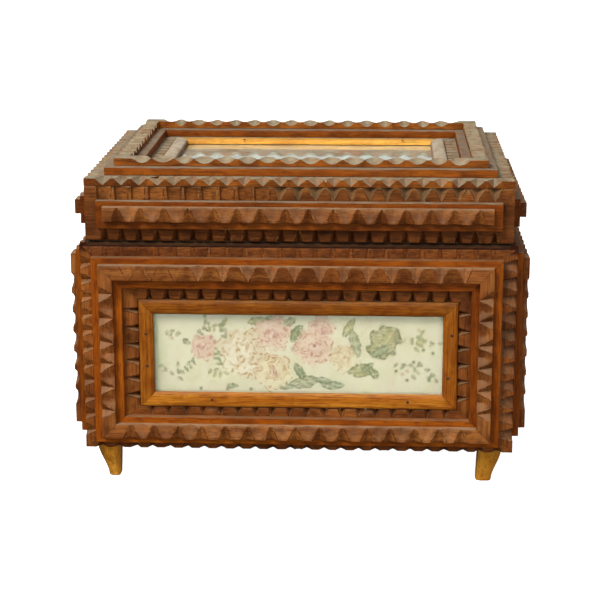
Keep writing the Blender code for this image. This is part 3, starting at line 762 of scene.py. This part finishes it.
def members(node):
    """The four strips of a frame, or the one of a bar, and the node's back and face level.

    A strip is its start, its direction along and inwards, its length, its width and its leads,
    which are the widths of the strips that it meets.
    """
    if node.endswith("_bar"):
        rect, back, face = block_rect(node)
        return [edge_runs(rect)[0] + (rect[3] - rect[1], (0, 0))], back, face
    outer, inner, back, face = frame_rects(node)
    widths = margins(outer, inner)
    return [run + (widths[k], (widths[k - 1], widths[(k + 1) % 4]))
            for k, run in enumerate(edge_runs(outer))], back, face


# %% [markdown]
# The base frame comes first. What shows of it round the strip frame says how far its notches have
# to reach, so both are read from the imported model. Its top edge and the tips beside it lie in
# the gap under the lid, so they are drawn in the darkest colour of the cuts: painted shade, with
# some grime.

# %% Base frames
# How far down the side members' tips are drawn dark: painted shade of the gap under the lid.
PAINTED_SHADE_TIP = 5.5 * MM


def carved_frame(node, strip_node, material):
    """The base frame, notched along its outer and its inner edge."""
    rng = random_for(node)
    strips, back, face = members(node)
    outer, inner = frame_rects(node)[:2]
    strip_outer, strip_inner = frame_rects(strip_node)[:2]
    side = side_of(node)
    jointed = side == "top"
    reaches = margins(outer, strip_outer)
    inner_reaches = margins(strip_inner, inner)
    shells = []
    for k, (start, along, inward, length, width, leads) in enumerate(strips):
        style = BAND_STYLES.get((side, EDGES[k]), CHIPPED)
        places = notch_places(length, OUTER_CORNER)
        inner_places = leads[0] + notch_places(length - leads[0] - leads[1], INNER_CORNER)
        strip = notched_strip(
            rng, length, width, face - back, leads,
            (places, reaches[k] + OVERRUN, style),
            (inner_places, inner_reaches[k] + OVERRUN, SMALL), 0.0 if jointed else JOINT)
        # The top wall, in the gap under the lid, gets the full cut value and so the darkest colour:
        # painted shade, with some grime.
        if EDGES[k] == "top" and not jointed:
            strip[3][:len(WALL_ROWS) + 1] = 1.0
        # The side members' tips next to that gap get the same painted shade, fading out a little lower
        # down.
        if k % 2 == 1 and not jointed:
            from_top = length - strip[0] if k == 1 else strip[0]
            strip[3][:] = np.maximum(strip[3], np.clip((PAINTED_SHADE_TIP - from_top) / (2 * MM), 0, 1))
        cuts = (leads[0], length - leads[1]) if jointed and k % 2 == 0 else ()
        shells += place_strip(rng, node, (start, along, inward), back, *strip,
                              shade=painted_shades_of(node)[k], cuts=cuts)
    return wooden_piece("carved_" + node, shells, material, [node])


# %% [markdown]
# The other layers share one way of building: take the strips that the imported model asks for,
# have each made by a maker, and stand it up. A maker knows one section or one way of carving.

# %% Frames and bars of other layers
def strips_of(node, name, maker, material):
    """A frame of four mitred strips, or a bar of one, each made by maker.

    The maker is also told which strip it is, as the node's name and the edge.
    """
    rng = random_for(node)
    strips, back, face = members(node)
    shells = []
    for k, (start, along, inward, length, width, leads) in enumerate(strips):
        strip = maker(rng, length, width, face - back, leads, node + " " + EDGES[k])
        shells += place_strip(rng, node, (start, along, inward), back, *strip,
                              shade=painted_shades_of(node)[k])
    return wooden_piece(name + node, shells, material, [node])


def plain_maker(section):
    """A maker of plain strips; section is an array or a function of width and thickness."""
    def make(rng, length, width, thick, leads, which):
        rows = section(width, thick, 0.35 * MM) if callable(section) else section
        return plain_strip(rng, length, width, thick, leads, rows)
    return make


FLAT_LENGTH = 60 * MM


def ridge_maker(side):
    """A maker of ridged strips with the scoops of one side; the front's top left is flat."""
    def make(rng, length, width, thick, leads, which):
        flat_from = length - FLAT_LENGTH if which == "box_front_ridge_frame top" else None
        return ridged_strip(rng, length, width, thick, leads, RIDGE_STYLES[side], flat_from)
    return make


for panel in ("box_front", "box_back", "box_left", "box_right", "lid_top"):
    on_lid = panel == "lid_top"
    plain = STRIP_LID if on_lid else STRIP
    side = panel.split("_")[1]
    carved_frame(panel + "_base_frame", panel + "_strip_frame", CARVED_TOP if on_lid else CARVED)
    strips_of(panel + "_strip_frame", "planed_", plain_maker(flat_section), plain)
    ridge = CARVED_TOP if on_lid else RIDGE
    strips_of(panel + "_ridge_frame", "carved_", ridge_maker(side), ridge)
    beads = [BEAD, BEAD_DUSTY, BEAD_HONEY, BEAD_DUSTY] if on_lid else BEAD
    strips_of(panel + "_moulding", "rounded_", plain_maker(bead_section()), beads)
print("frames:", len(PIECES), "pieces,", sum(len(p.data.polygons) for p in PIECES), "faces")

# %% [markdown]
# The lid's four sides carry straight bars instead of frames: a base bar notched along its top
# and bottom, a plain strip and a ridged bar, each shorter and lower than the one beneath.

# %% Bars on the lid's sides
LOWER_TEETH = dict(CHIPPED, half=2.5 * MM, bite=0.0)
STEPPED_SHARE = 0.45
# How far the lower teeth's tone is raised: they face down, away from the light, and are drawn darker as
# painted shade.
LOWER_TEETH_PAINTED_SHADE = 1.3


def carved_bar(node, strip_node):
    """A straight bar notched along its lower and upper edge."""
    rng = random_for(node)
    ((start, along, inward, length, width, leads),), back, face = members(node)
    reaches = margins(block_rect(node)[0], block_rect(strip_node)[0])
    places = notch_places(length, OUTER_CORNER)
    stepped = (places < STEPPED_SHARE * length) & (side_of(node) == "front")
    upper = {key: np.where(stepped, STEPPED[key], WIDE[key]) for key in WIDE}
    upper["bite"] = WIDE["bite"]
    s, t, h, cut, wear, tone = notched_strip(
        rng, length, width, face - back, leads,
        (places, reaches[0] + OVERRUN, LOWER_TEETH), (places, reaches[2] + OVERRUN, upper))
    # The lower teeth are drawn darker: painted shade on what faces down.
    tone[:SIDE_ROWS] += LOWER_TEETH_PAINTED_SHADE
    shells = place_strip(rng, node, (start, along, inward), back, s, t, h, cut, wear, tone)
    return wooden_piece("carved_" + node, shells, CARVED_LID, [node])


for side in ("front", "back", "left", "right"):
    carved_bar(f"lid_{side}_base_bar", f"lid_{side}_strip_bar")
    strips_of(f"lid_{side}_strip_bar", "planed_", plain_maker(flat_section), STRIP_LID)
    strips_of(f"lid_{side}_ridge_bar", "carved_", ridge_maker(side), RIDGE)
print("bars made:", len(PIECES), "pieces so far")

# %% [markdown]
# The feet are whittled: a square block pared down to a slim toe, with the knife's long flat
# facets still on it. Each level is a rounded square, |x| to the p plus |y| to the p, and every
# facet is pared by its own small amount.

# %% Feet
FOOT_SIDES = 16
FOOT_ROWS = 13
FOOT_POWER = 3.4


def whittled_foot(node, out_x, out_y, pared):
    """A foot whose two outer sides flare out at the top by a smooth step of the height.

    pared is how much more was cut off the side that looks to the middle of the box.
    """
    rng = random_for(node)
    low, high = (np.array(corner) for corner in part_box(node))
    size = high - low
    levels = np.concatenate(([0.0, 0.035], np.linspace(0.12, 1, FOOT_ROWS - 2)))
    smooth = levels ** 2 * (3 - 2 * levels)
    toe = 0.62 * size[0]
    inset = (size[0] - toe) * (1 - smooth)
    half = (size[0] - inset) / 2 - np.where(levels == 0, 0.4 * MM, 0)
    angle = (np.arange(FOOT_SIDES) + 0.5) * 2 * math.pi / FOOT_SIDES
    paring = 1 - rng.uniform(0, 0.07, (3, FOOT_SIDES))
    which = np.minimum((levels * 3).astype(int), 2)
    blend = 0.5 * (paring[which] + paring[np.maximum(which - 1, 0)])
    cos = np.sign(np.cos(angle)) * np.abs(np.cos(angle)) ** (2 / FOOT_POWER)
    sin = np.sign(np.sin(angle)) * np.abs(np.sin(angle)) ** (2 / FOOT_POWER)
    centre = (inset + size[0]) / 2
    a = centre[:, None] + half[:, None] * cos * blend
    a = a - pared * np.clip(cos, 0, 1) * (1.2 - levels[:, None])
    b = centre[:, None] + half[:, None] * sin * blend
    x = high[0] - a if out_x > 0 else low[0] + a
    y = high[1] - b if out_y > 0 else low[1] + b
    z = low[2] + levels[:, None] * size[2] * np.ones(FOOT_SIDES)
    points = np.stack((x, y, z), -1).transpose(1, 0, 2)
    grain = np.stack((z.T, a.T, b.T), -1) + rng.uniform(0, 3, 3)
    wear = np.where(levels < 0.05, 0.8, 0.15) * np.ones((FOOT_SIDES, 1))
    cut = np.where(levels > 0.95, 0.4, 0.0) * np.ones((FOOT_SIDES, 1))
    tone = rng.uniform(0, 0.7, (FOOT_SIDES, 1)) * np.ones((FOOT_SIDES, FOOT_ROWS - 1))
    shell = strip_shell(points, grain, cut, wear, tone)
    return wooden_piece("whittled_" + node, [shell], FOOT, [node], crease=14)


for corner, out_x, out_y, pared in (("front_left", -1, -1, 1.7), ("front_right", 1, -1, -0.3),
                                    ("back_right", 1, 1, 1.0), ("back_left", -1, 1, 0.3)):
    whittled_foot("foot_" + corner, out_x, out_y, pared * MM)
print("feet made:", len(PIECES), "pieces so far")

# %% [markdown]
# The boards of the box itself and the panes of glass keep the imported model's own solids, which
# have their true shape, and get their finish here. The boards are planed cigar-box cedar, drawn
# much darker than the wood so that the gap under the lid reads dark: painted shade. The glass is
# old window glass: clear and smooth, with the faintest cast of green.

# %% Boards and glass
def finish_node(node, material):
    """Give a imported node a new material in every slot."""
    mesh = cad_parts[node].data
    mesh.materials.clear()
    mesh.materials.append(material)


def window_glass():
    """Thin old window glass: clear, smooth, a little green."""
    material, _, shader = start_material("old_window_glass")
    shader.inputs["Base Color"].default_value = linear("#f2f8f0")
    shader.inputs["Roughness"].default_value = 0.0
    shader.inputs["IOR"].default_value = 1.5
    shader.inputs["Transmission Weight"].default_value = 1.0
    return material


GLASS = window_glass()
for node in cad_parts:
    if node.endswith("_board"):
        wide, deep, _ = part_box(node)[1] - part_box(node)[0]
        finish_node(node, BOARDS["X" if wide > deep else "Y"])
    if node.endswith("_glass"):
        finish_node(node, GLASS)
        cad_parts[node].visible_shadow = False
print("boards and panes finished, their solids are the packed model's own")

# %% [markdown]
# Behind each pane lies printed cotton with roses. A print could be an image, but here it is
# painted with formulas, one colour for each point of the cloth, so it stays sharp at any size and
# belongs to nobody. All of it is counted in mm. First come the brush and the cloth it works on.

# %% A brush for printed cotton
def ease(low, high, x):
    """Smooth step from 0 at low to 1 at high."""
    y = np.clip((x - low) / (high - low), 0, 1)
    return y * y * (3 - 2 * y)


def paint(sheet, mask, hexcode, strength=1.0):
    """Lay a colour over the sheet's dye where the mask is, as thin ink."""
    share = (np.clip(mask, 0, 1) * strength)[..., None]
    sheet.dye += share * (np.array(linear(hexcode)[:3]) - sheet.dye)


def spots(sheet, places, radius, ink, strength):
    """Small soft dabs of ink."""
    for x, y in places:
        away = np.hypot(sheet.x - x, sheet.y - y)
        paint(sheet, ease(radius * 1.4, radius * 0.4, away), ink, strength)


print("the ease from 0 to 1 is half way at", ease(0.0, 1.0, 0.5))

# %% [markdown]
# A printed leaf is a pointed oval with a darker rim, a pale rib and a blotchy wash inside. A spray
# is a curved stem, which the eye fills in, with small leaves to both sides.

# %% Leaves and sprays
GREENS = ("#6f7a2c", "#99963e", "#5c6e2e", "#8f9460", "#76875a")


def leaf(sheet, x, y, length, width, angle, ink, rim="#4e5a22"):
    """A pointed oval: its half width is width times (1 - q squared) to the 0.8, q along it."""
    turn = math.radians(angle)
    dx = sheet.x - x
    dy = sheet.y - y
    q = (dx * math.cos(turn) + dy * math.sin(turn)) / (length / 2)
    r = (-dx * math.sin(turn) + dy * math.cos(turn)) / (width / 2)
    ragged = 0.14 * wobble(sheet.rng, dx, dy, 1.0, max(2.5, 0.4 * width))
    depth = np.clip(1 - q * q, 0, 1) ** 0.8 + ragged - np.abs(r)
    inside = ease(0.0, 0.16, depth) * (np.abs(q) < 1.05)
    wash = 0.80 + 0.45 * wobble(sheet.rng, dx, dy, 1.0, 3.5)
    paint(sheet, inside * wash, ink, 0.95)
    broken = ease(-0.7, 0.2, wobble(sheet.rng, dx, dy, 1.0, 4))
    paint(sheet, inside * ease(0.46, 0.14, depth) * broken, rim, 0.85)
    paint(sheet, inside * ease(0.16, 0.03, np.abs(r)), "#dcdab2", 0.5)


def spray(sheet, x, y, reach, angle, count, ink):
    """Leaves by turns on both sides of a stem that bends by 40 degrees over its reach."""
    for k in range(count):
        share = (k + 1) / count
        bend = math.radians(angle + 40 * share)
        turn = angle + (55 if k % 2 else -55) + sheet.rng.uniform(-20, 20)
        leaf(sheet, x + reach * share * math.cos(bend) + 1.9 * math.cos(math.radians(turn)),
             y + reach * share * math.sin(bend) + 1.9 * math.sin(math.radians(turn)),
             sheet.rng.uniform(3.6, 5.4), sheet.rng.uniform(1.8, 2.6), turn, ink)


# %% [markdown]
# A rose is four rings of petals, each smaller than the last. Every ring gets its own broken
# outline and a side that is shaded, and the heart gets a few strong strokes.

# %% Roses
PETALS = (("#f0e4bc", "#b5741e", "#bb5a48"), ("#eed2bc", "#bd7550", "#a8483c"),
          ("#f4ead0", "#b98a34", "#c08a48"))
RINGS = ((1.0, 0.85), (0.76, 0.5), (0.54, 0.5), (0.32, 0.5))


def rose(sheet, x, y, radius, petal, shade, heart, petals=5):
    """Rings of petals: each ring's edge is its radius times 0.84 + 0.16 |cos(n a / 2)|."""
    dx = sheet.x - x
    dy = sheet.y - y
    away = np.hypot(dx, dy) / radius + 0.15 * wobble(sheet.rng, dx, dy, 1.0, radius * 0.6)
    around = np.arctan2(dy, dx)
    for ring, (size, strength) in enumerate(RINGS):
        phase = sheet.rng.uniform(0, 6.3)
        edge = size * (0.84 + 0.16 * np.abs(np.cos(petals * around / 2 + phase)))
        inside = ease(0.0, 0.10, edge - away)
        outline = ease(0.085, 0.0, np.abs(edge - away - 0.04))
        broken = ease(-0.15, 0.4, wobble(sheet.rng, dx, dy, 1.0, radius * 0.5))
        paint(sheet, inside, petal, strength)
        paint(sheet, outline * broken, shade, 0.95)
        side_light = ease(-0.4, 0.9, np.cos(around - 2.0 + 1.7 * ring)) * inside
        paint(sheet, side_light * np.clip(away / size, 0, 1) ** 2, shade, 0.42)
    streak = ease(0.1, 0.7, wobble(sheet.rng, dx, dy, 1.0, radius * 0.35))
    paint(sheet, ease(0.42, 0.05, away) * streak, heart, 0.9)


# %% [markdown]
# On the hidden sides the flowers are strewn at random. On the front they are listed one by one,
# in mm from the middle of the pane: pale roses in the middle, a large leaf on the right and
# sprays to both sides.

# %% Layouts of the print
def scatter(sheet, count):
    """Roses with their leaves, and sprays between them, spread over the whole sheet."""
    rng = sheet.rng
    left, low, right, high = sheet.x.min(), sheet.y.min(), sheet.x.max(), sheet.y.max()
    border = 0.25 * (high - low)
    for k in range(count):
        x = left + (k + rng.uniform(0.3, 0.7)) / count * (right - left)
        y = rng.uniform(low + border, high - border)
        radius = rng.uniform(9, 14)
        for turn in rng.uniform(0, 360, 5):
            leaf(sheet, x + 1.15 * radius * math.cos(math.radians(turn)),
                 y + 1.15 * radius * math.sin(math.radians(turn)), rng.uniform(10, 17),
                 rng.uniform(5, 9), turn + rng.uniform(-40, 40), GREENS[rng.integers(5)])
        rose(sheet, x, y, radius, *PETALS[rng.integers(3)])
    for _ in range(3 * count):
        spray(sheet, rng.uniform(left, right), rng.uniform(low, high), 8, rng.uniform(0, 360), 5,
              GREENS[rng.integers(5)])


FRONT_SPRAYS = (  # x, y, reach, angle, count, green
    (-66, 10, 14, 20, 8, 0), (-58, 18, 12, -25, 7, 1), (-46, 20, 15, -110, 8, 2),
    (-50, 4, 12, -120, 7, 0), (-74, -10, 12, 5, 7, 2), (-56, -10, 9, -60, 6, 1),
    (-84, 16, 9, -60, 5, 3), (-86, -6, 8, -100, 4, 3), (-78, -18, 8, 40, 4, 3),
    (66, 12, 10, -40, 5, 3), (72, 4, 10, 20, 6, 1), (80, 12, 9, -70, 4, 3),
    (62, -4, 8, -60, 4, 3), (70, -14, 10, 15, 5, 3), (84, -8, 8, -110, 4, 3))
FRONT_LEAVES = (  # x, y, length, width, angle, green
    (-71, 7, 6, 4, 150, 0), (-26, 21, 13, 6, 10, 1), (-16, 22, 10, 5, -15, 4),
    (-6, 20, 12, 6, 30, 3), (-1, 13, 14, 8, 60, 0), (3, 8, 9, 5, 20, 2),
    (1, -12, 13, 6, -60, 2), (4, -19, 20, 9, 10, 3), (16, -18, 13, 5, -10, 2),
    (-8, -22, 12, 5, 0, 4), (32, 17, 15, 6, 60, 1), (36, 7, 20, 7, 105, 3),
    (40, -11, 18, 10, 5, 1), (44, -9, 10, 5, 40, 2), (48, -13, 9, 6, -50, 0),
    (-42, -22, 8, 4, 0, 2), (22, -21, 16, 6, 0, 4))
LARGE_LEAF = (  # x, y, length, width, angle, ink, rim
    (54, 8, 27, 21, 52, "#a29a50", "#4a5420"), (57, 10, 15, 9, 60, "#b4aa66", "#6c7030"),
    (52, 2, 13, 7, 30, "#8a9868", "#4c5c2c"))
FRONT_ROSES = (  # x, y, radius, kind, petals
    (-60, 3, 9, 1, 5), (-35, 1, 17, 2, 6), (-16, 13, 12, 1, 5), (-16, -12, 13, 0, 5),
    (10, 4, 13, 1, 6), (15, 17, 9, 1, 4), (28, -3, 9, 0, 5))
FRONT_SPOTS = (  # places, radius, ink, strength
    (((-63, 4), (-55, 10), (-53, 7)), 1.6, "#b4615a", 0.75),
    (((-19, 14), (-14, 12), (-16, -10), (-15, -14), (-3, 3), (11, 19), (16, 14)), 1.8,
     "#b4615a", 0.6),
    (((79, 3), (73, -5), (62, -11), (69, -17), (83, -17), (85, 1), (-45, -24), (-30, -24),
      (-62, -24)), 1.2, "#5f6c2c", 0.9),
    (((69, -11), (66, -13), (60, 14), (76, 16), (-80, 9)), 1.3, "#bd8f4c", 0.6))


def front_print(sheet):
    """The front's own layout, on a ground with faint clouds of colour."""
    for tint in ("#dccf9c", "#d3d8a8", "#ead2b8"):
        cloud = ease(0.0, 1.0, wobble(sheet.rng, sheet.x, sheet.y, 1.0, 22))
        specks = ease(-0.6, 0.4, wobble(sheet.rng, sheet.x, sheet.y, 1.0, 4))
        paint(sheet, cloud * specks, tint, 0.45)
    for *place, green in FRONT_SPRAYS:
        spray(sheet, *place, GREENS[green])
    for *place, green in FRONT_LEAVES:
        leaf(sheet, *place, GREENS[green])
    for row in LARGE_LEAF:
        leaf(sheet, *row)
    for x, y, radius, kind, petals in FRONT_ROSES:
        rose(sheet, x, y, radius, *PETALS[kind], petals)
    leaf(sheet, -2, 13, 10, 6, 65, GREENS[0])
    leaf(sheet, 1, -13, 10, 5, -55, GREENS[2])
    for row in FRONT_SPOTS:
        spots(sheet, *row)
    paint(sheet, ease(-80, -92, sheet.x), "#a9b47c", 0.45)


print("front print:", len(FRONT_ROSES), "roses,", len(FRONT_LEAVES), "leaves,",
      len(FRONT_SPRAYS), "sprays")

# %% [markdown]
# The cloth itself is a fine grid with slight puckers, closed all round by a flat back, as every
# piece of the box is. Its threads are only a bump and a faint shade. What a century under glass
# leaves of the dyes' red, green and blue is one factor for each.

# %% Sheets of printed cotton
AGED = np.array((0.492, 0.448, 0.462))


def cotton(name, ground):
    """Printed cotton: a plain weave shows as fine pale and dark threads.

    The real threads are about 0.35 mm apart, too fine to show here, so they are drawn at 0.8 mm.
    """
    material, tree, shader = start_material(name)
    ink = add(tree, "ShaderNodeAttribute", attribute_name="print").outputs["Color"]
    place = add(tree, "ShaderNodeAttribute", attribute_name="cloth").outputs["Vector"]
    warp = noise(tree, place, (0.0008, 0.012, 0.01), 2.0)
    weft = noise(tree, place, (0.012, 0.0008, 0.01), 2.0)
    thread = calc(tree, "ADD", warp, weft)
    shade = calc(tree, "MULTIPLY", stretch(tree, thread, 0.70, 1.30), 0.12)
    colour = mix(tree, shade, ink, (0.35, 0.33, 0.22, 1.0))
    stain = noise(tree, place, (0.030, 0.020, 0.02), 3.0)
    colour = mix(tree, stretch(tree, stain, 0.5, 0.75, 0.0, 0.12), colour, linear(ground))
    tree.links.new(colour, shader.inputs["Base Color"])
    shader.inputs["Roughness"].default_value = 0.85
    shader.inputs["Sheen Weight"].default_value = 0.15
    bump = add(tree, "ShaderNodeBump", {"Height": thread, "Strength": 0.12, "Distance": 0.2 * MM})
    tree.links.new(bump.outputs[0], shader.inputs["Normal"])
    return material


def fabric_sheet(node, cell, roses, material, ground):
    """A stretched sheet, strewn with so many roses, or with the front's print where that is 0."""
    rng = random_for(node)
    (u0, v0, u1, v1), back, face = block_rect(node)
    columns = int((u1 - u0) / cell) + 1
    rows = int((v1 - v0) / cell) + 1
    u, v = np.meshgrid(np.linspace(u0, u1, columns), np.linspace(v0, v1, rows))
    x = u - (u0 + u1) / 2
    y = v - (v0 + v1) / 2
    pucker = wobble(rng, x, y, 0.09 * MM, 0.035) + wobble(rng, x, y * 0.3, 0.05 * MM, 0.012)
    front = np.stack((u, v, back + 0.72 * (face - back) + pucker), -1).reshape(-1, 3)
    index = np.arange(rows * columns).reshape(rows, columns)
    rim = np.concatenate((index[0], index[1:, -1], index[-1, -2::-1], index[-2:0:-1, 0]))
    behind = front[rim]
    behind[:, 2] = back
    points = np.vstack((front, behind))
    quads = np.stack((index[:-1, :-1], index[:-1, 1:], index[1:, 1:], index[1:, :-1]), -1)
    low_rim = rows * columns + np.arange(len(rim))
    walls = np.stack((low_rim, np.roll(low_rim, -1), np.roll(rim, -1), rim), -1)
    mesh = bpy.data.meshes.new("printed_" + node)
    fill_mesh(mesh, points @ AXES[side_of(node)], np.concatenate((quads.reshape(-1, 4), walls)),
              [low_rim[::-1]])
    dye = np.ones((rows, columns, 3)) * np.array(linear(ground)[:3])
    sheet = SimpleNamespace(rng=rng, x=x / MM, y=y / MM, dye=dye)
    if roses:
        scatter(sheet, roses)
    else:
        front_print(sheet)
    dyes = (sheet.dye * AGED).reshape(-1, 3)
    inked = np.column_stack((np.vstack((dyes, dyes[rim])), np.ones(len(points))))
    set_attribute(mesh, "print", "FLOAT_COLOR", "POINT", "color", inked)
    cloth = np.column_stack((points[:, :2], np.zeros(len(points))))
    set_attribute(mesh, "cloth", "FLOAT_VECTOR", "POINT", "vector", cloth)
    mesh.shade_smooth()
    mesh.set_sharp_from_angle(angle=math.radians(40))
    piece = register(bpy.data.objects.new("printed_" + node, mesh), material, [node])
    print(piece.name, "cut", round((u1 - u0) / MM, 1), "x", round((v1 - v0) / MM, 1), "mm")


COTTON = cotton("printed_cotton", "#cfc59a")
COTTON_PALE = cotton("printed_cotton_faded", "#c9c6a8")
fabric_sheet("box_front_fabric", 0.45 * MM, 0, COTTON, "#e9e4c6")
for side, roses in (("back", 6), ("left", 4), ("right", 4)):
    fabric_sheet(f"box_{side}_fabric", 0.8 * MM, roses, COTTON, "#ebdfb6")
fabric_sheet("lid_top_fabric", 0.8 * MM, 7, COTTON_PALE, "#dce2cc")

# %% [markdown]
# Small nails hold the beads and the frames. Each head is a low dome sunk in its own dent, so only
# a dark round spot shows. A few pale splinters mark where a chip of wood broke off.

# %% Nails and splinters
NAIL_SIDES = 10
NAIL_DOME = np.array([(1.0, -0.25), (1.0, 0.02), (0.75, 0.12), (0.25, 0.18)]) * MM
SPLINTER_DOME = np.array([(0.80, -0.15), (0.75, 0.25), (0.30, 0.40), (0.10, 0.45)]) * MM


def plain_finish(name, hexcode, rough, metal):
    """One even colour that a fine noise dulls a little."""
    material, tree, shader = start_material(name)
    place = add(tree, "ShaderNodeTexCoord").outputs["Object"]
    speck = noise(tree, place, (0.0006, 0.0006, 0.0006), 2.0)
    colour = mix(tree, stretch(tree, speck, 0.4, 0.7, 0.0, 0.5), linear(hexcode),
                 (0.02, 0.012, 0.008, 1))
    tree.links.new(colour, shader.inputs["Base Color"])
    shader.inputs["Roughness"].default_value = rough
    shader.inputs["Metallic"].default_value = metal
    return material


def dots(name, node, places, dome, squeeze, material):
    """Low domes at (u, v) places in mm from the middle of a panel, on a level of a node."""
    outer, _, _, face = frame_rects(node)
    middle = np.array(((outer[0] + outer[2]) / 2, (outer[1] + outer[3]) / 2))
    angle = np.arange(NAIL_SIDES) * 2 * math.pi / NAIL_SIDES
    shells = []
    for u, v, down in places:
        across = np.cos(angle)[:, None] * dome[:, 0] * squeeze[0]
        upward = np.sin(angle)[:, None] * dome[:, 0] * squeeze[1]
        level = face - down * MM + dome[:, 1] + 0 * across
        flat = np.stack((middle[0] + u * MM + across, middle[1] + v * MM + upward, level), -1)
        zero = np.zeros(across.shape)
        shells.append(strip_shell(flat @ AXES[side_of(node)], flat, zero, zero, zero[:, 1:]))
    return wooden_piece(name, shells, material, [])


IRON = plain_finish("rusty_iron_nail", "#4a2c1a", 0.6, 0.3)
PALE = plain_finish("bare_broken_wood", "#d9c8a4", 0.8, 0.0)
dots("nail_heads_box_front", "box_front_moulding",
     ((-54.5, -30, 0.05), (69.5, -30, 0.05), (96.5, 14, 0.05), (94.5, -14, 0.05), (-96, 13, 0.05),
      (-95.5, -8, 0.05)), NAIL_DOME, (1.0, 1.0), IRON)
dots("nail_heads_lid_top", "lid_top_moulding", ((-45, 46.5, 0.05), (65, 46.5, 0.05)), NAIL_DOME,
     (1.0, 1.0), IRON)
dots("broken_splinters", "box_front_base_frame", ((43, -38.5, 0.3), (-66, 34.5, 1.2)), SPLINTER_DOME,
     (0.8, 1.2), PALE)
print("nails and splinters made:", len(PIECES), "pieces")

# %% [markdown]
# The ground is plain white: a large floor that glows, as a lit white sweep does. The light that
# falls on the box, and the gloss on its glass, come from a soft sky and two broad lamps, the
# stronger one high on the left. The floor itself is left out of both, so the carving keeps its
# shade from below and the print isn't veiled.

# %% Floor and light
SWEEP = 8.0


def make_floor():
    """A wide pale floor with walls far off, which glow but throw no light on the box."""
    mesh = bpy.data.meshes.new("floor")
    plan = [(-SWEEP, -SWEEP), (SWEEP, -SWEEP), (SWEEP, SWEEP), (-SWEEP, SWEEP)]
    corners = [(x, y, z) for z in (0, SWEEP) for x, y in plan]
    walls = [(k, 4 + k, 4 + (k + 1) % 4, (k + 1) % 4) for k in range(4)]
    mesh.from_pydata(corners, [], [(0, 1, 2, 3)] + walls)
    material, _, shader = start_material("white_studio_sweep")
    shader.inputs["Base Color"].default_value = (0.8, 0.8, 0.8, 1)
    shader.inputs["Roughness"].default_value = 0.9
    shader.inputs["Specular IOR Level"].default_value = 0.1
    shader.inputs["Emission Color"].default_value = (1, 1, 1, 1)
    shader.inputs["Emission Strength"].default_value = 1.0
    mesh.materials.append(material)
    floor = bpy.data.objects.new("floor", mesh)
    floor.visible_diffuse = False
    floor.visible_glossy = False
    floor.visible_shadow = False
    bpy.context.scene.collection.objects.link(floor)


def make_lamp(name, place, aim, size, power):
    """A square soft lamp that looks at a point."""
    lamp = bpy.data.lights.new(name, "AREA")
    lamp.shape = "SQUARE"
    lamp.size = size
    lamp.energy = power
    obj = bpy.data.objects.new(name, lamp)
    look = (Vector(aim) - Vector(place)).to_track_quat("-Z", "Y")
    obj.matrix_world = Matrix.Translation(place) @ look.to_matrix().to_4x4()
    bpy.context.scene.collection.objects.link(obj)


def make_sky(below, horizon, overhead):
    """A white sky: weak from below, strongest at the horizon and softer overhead."""
    world = bpy.data.worlds.new("studio")
    world.use_nodes = True
    tree = world.node_tree
    look = add(tree, "ShaderNodeTexCoord").outputs["Generated"]
    height = add(tree, "ShaderNodeSeparateXYZ", {0: look}).outputs[2]
    rising = stretch(tree, height, -0.30, 0.05, below, horizon)
    strength = calc(tree, "ADD", rising, stretch(tree, height, 0.15, 0.45, 0.0, overhead - horizon))
    tree.nodes["Background"].inputs["Color"].default_value = (1, 1, 1, 1)
    tree.links.new(strength, tree.nodes["Background"].inputs["Strength"])
    bpy.context.scene.world = world


make_floor()
make_sky(0.10, 0.42, 0.25)
make_lamp("key", (-0.9, -1.5, 1.9), (0, 0, 0.1), 1.0, 58)
make_lamp("fill", (0.7, -2.2, 0.7), (0, 0, 0.1), 1.4, 16)
bpy.context.scene.view_settings.view_transform = "Standard"
print("floor, sky and two lamps made")

# %% Sizes and finish
print("faces in all:", sum(len(p.data.polygons) for p in PIECES))
